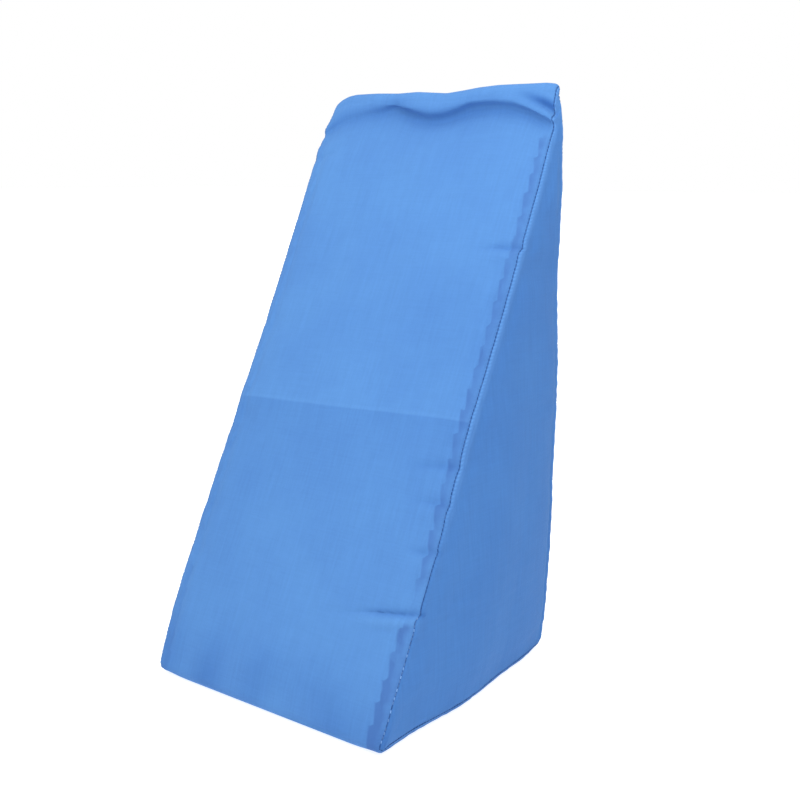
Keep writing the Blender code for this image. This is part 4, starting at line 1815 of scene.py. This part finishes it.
@dataclass
class Studio:
    """Pale floor, soft light and the camera at the photograph's angle. Lengths are in metres."""

    yaw: float = 36.289
    pitch: float = 11.565
    roll: float = 0.222
    distance: float = 0.9760
    centre: tuple = (0.03856, 0.23088)
    focal_pixels: float = 1089.19
    frame_pixels: float = 800.0
    sensor: float = 36.0
    floor_size: float = 60.0
    sky_level: float = 0.42
    sky_overhead: float = 0.9
    floor_greys: tuple = (0.50, 0.53)
    floor_glow: float = 0.80
    sun_towards: tuple = (0.0, -0.02, 1.0)
    sun_strength: float = 0.35
    sun_angle: float = 60.0
    lamp_spot: tuple = (0.30, -0.5, 0.98)
    lamp_aim: tuple = (0.0, 0.0, 0.32)
    lamp_size: float = 0.45
    lamp_watts: float = 4.3

    def axes(self) -> tuple:
        """The camera's right, up and backward directions in the object's frame.

        Returns:
            Three unit vectors.
        """
        yaw, pitch, roll = (math.radians(angle) for angle in (self.yaw, self.pitch, self.roll))
        level = math.cos(pitch)
        back = np.array((math.sin(yaw) * level, -math.cos(yaw) * level, math.sin(pitch)))
        right = np.array((math.cos(yaw), math.sin(yaw), 0.0))
        up = np.cross(back, right)
        across = math.cos(roll) * right + math.sin(roll) * up
        upward = -math.sin(roll) * right + math.cos(roll) * up
        return across, upward, back

    def add_camera(self) -> None:
        """Stand the camera and make it the scene's."""
        across, upward, back = self.axes()
        spot = self.centre[0] * across + self.centre[1] * upward + back * self.distance
        data = bpy.data.cameras.new("camera")
        data.sensor_width = self.sensor
        data.lens = self.focal_pixels / self.frame_pixels * self.sensor
        camera = linked("camera", data)
        camera.matrix_world = placing(across, upward, back, spot)
        bpy.context.scene.camera = camera

    def add_floor(self) -> None:
        """Lay a plain pale floor."""
        half = self.floor_size / 2.0
        corners = [(-half, -half, 0.0), (half, -half, 0.0), (half, half, 0.0), (-half, half, 0.0)]
        corners = np.array(corners) - (0.0, 0.0, 0.0002)
        mesh = new_mesh("studio_floor", corners, np.array([(0, 1, 2, 3)]))
        material, sheet, shader = new_surface("studio_floor")
        tone = sheet.noise(sheet.add("ShaderNodeTexCoord").outputs["Object"], 1.5)
        greys = [(grey, grey, grey, 1.0) for grey in self.floor_greys]
        values = {
            "Base Color": sheet.mix(tone, *greys),
            "Roughness": 0.9,
            "Emission Color": (1.0, 1.0, 1.0, 1.0),
            "Emission Strength": self.floor_glow,
        }
        sheet.fill(shader, values)
        mesh.materials.append(material)
        floor = linked("studio_floor", mesh)

    def add_light(self, name: str, kind: str, matrix: Matrix, **settings: float) -> None:
        """Add a light.

        Args:
            name: Its name.
            kind: Its kind, AREA or SUN.
            matrix: Where it stands and points.
            settings: Its energy, and its size or its angle.
        """
        data = bpy.data.lights.new(name, kind)
        for key, value in settings.items():
            setattr(data, key, value)
        linked(name, data).matrix_world = matrix

    def add_world(self) -> None:
        """Surround everything with white light, stronger overhead, before a white backdrop."""
        world = bpy.data.worlds.new("studio_white")
        world.use_nodes = True
        sheet = NodeSheet(world.node_tree)
        background = world.node_tree.nodes["Background"]
        background.inputs["Color"].default_value = (1.0, 1.0, 1.0, 1.0)
        towards = sheet.add("ShaderNodeTexCoord").outputs["Generated"]
        high = sheet.add("ShaderNodeSeparateXYZ", {"Vector": towards}).outputs["Z"]
        overhead = sheet.times(sheet.maths("MAXIMUM", high, 0.0), self.sky_overhead)
        light = sheet.maths("ADD", overhead, self.sky_level)
        seen = sheet.add("ShaderNodeLightPath").outputs["Is Camera Ray"]
        sheet.feed(background.inputs["Strength"], sheet.maths("MAXIMUM", light, seen))
        bpy.context.scene.world = world

    def build(self) -> None:
        """Set the whole studio up."""
        bpy.context.scene.view_settings.view_transform = "Standard"
        self.add_camera()
        self.add_floor()
        self.add_world()
        matrix = facing_matrix(np.array(self.sun_towards), (0.0, 0.0, 0.0))
        angle = math.radians(self.sun_angle)
        self.add_light("high_sun", "SUN", matrix, energy=self.sun_strength, angle=angle)
        towards = np.array(self.lamp_spot) - np.array(self.lamp_aim)
        matrix = facing_matrix(towards, self.lamp_spot)
        self.add_light("key_lamp", "AREA", matrix, energy=self.lamp_watts, size=self.lamp_size)


def main() -> None:
    """Build the cushion and its studio."""
    logging.basicConfig(level=logging.INFO, format="%(name)s: %(message)s")
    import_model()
    groups = ClothGroups.made()
    wrap_cloth = WovenCloth(
        "blue_wrap_cloth",
        colour=(0.086, 0.236, 0.540, 1.0),
        deep_colour=(0.078, 0.216, 0.516, 1.0),
        edge_highlight_colour=(0.086, 0.236, 0.540, 1.0),
    ).build(groups)
    # The side panels are the same cloth painted darker, as shade, with a painted highlight on the
    # turned edge beside the seam.
    shaded_side_cloth = WovenCloth(
        "blue_side_cloth_painted_shade",
        colour=(0.060, 0.186, 0.480, 1.0),
        deep_colour=(0.055, 0.172, 0.458, 1.0),
        edge_highlight_colour=(0.110, 0.285, 0.640, 1.0),
    ).build(groups)
    thread = SewingThread().build(groups)

    body = CushionBody()
    cushion = body.build(wrap_cloth, shaded_side_cloth)
    LOG.info("%s: %d faces", cushion.name, len(cushion.data.polygons))
    for side in Side:
        stitches = SeamStitches(side).build(body, thread)
        LOG.info("%s: %d faces", stitches.name, len(stitches.data.polygons))
    Studio().build()


if __name__ == "__main__":
    main()
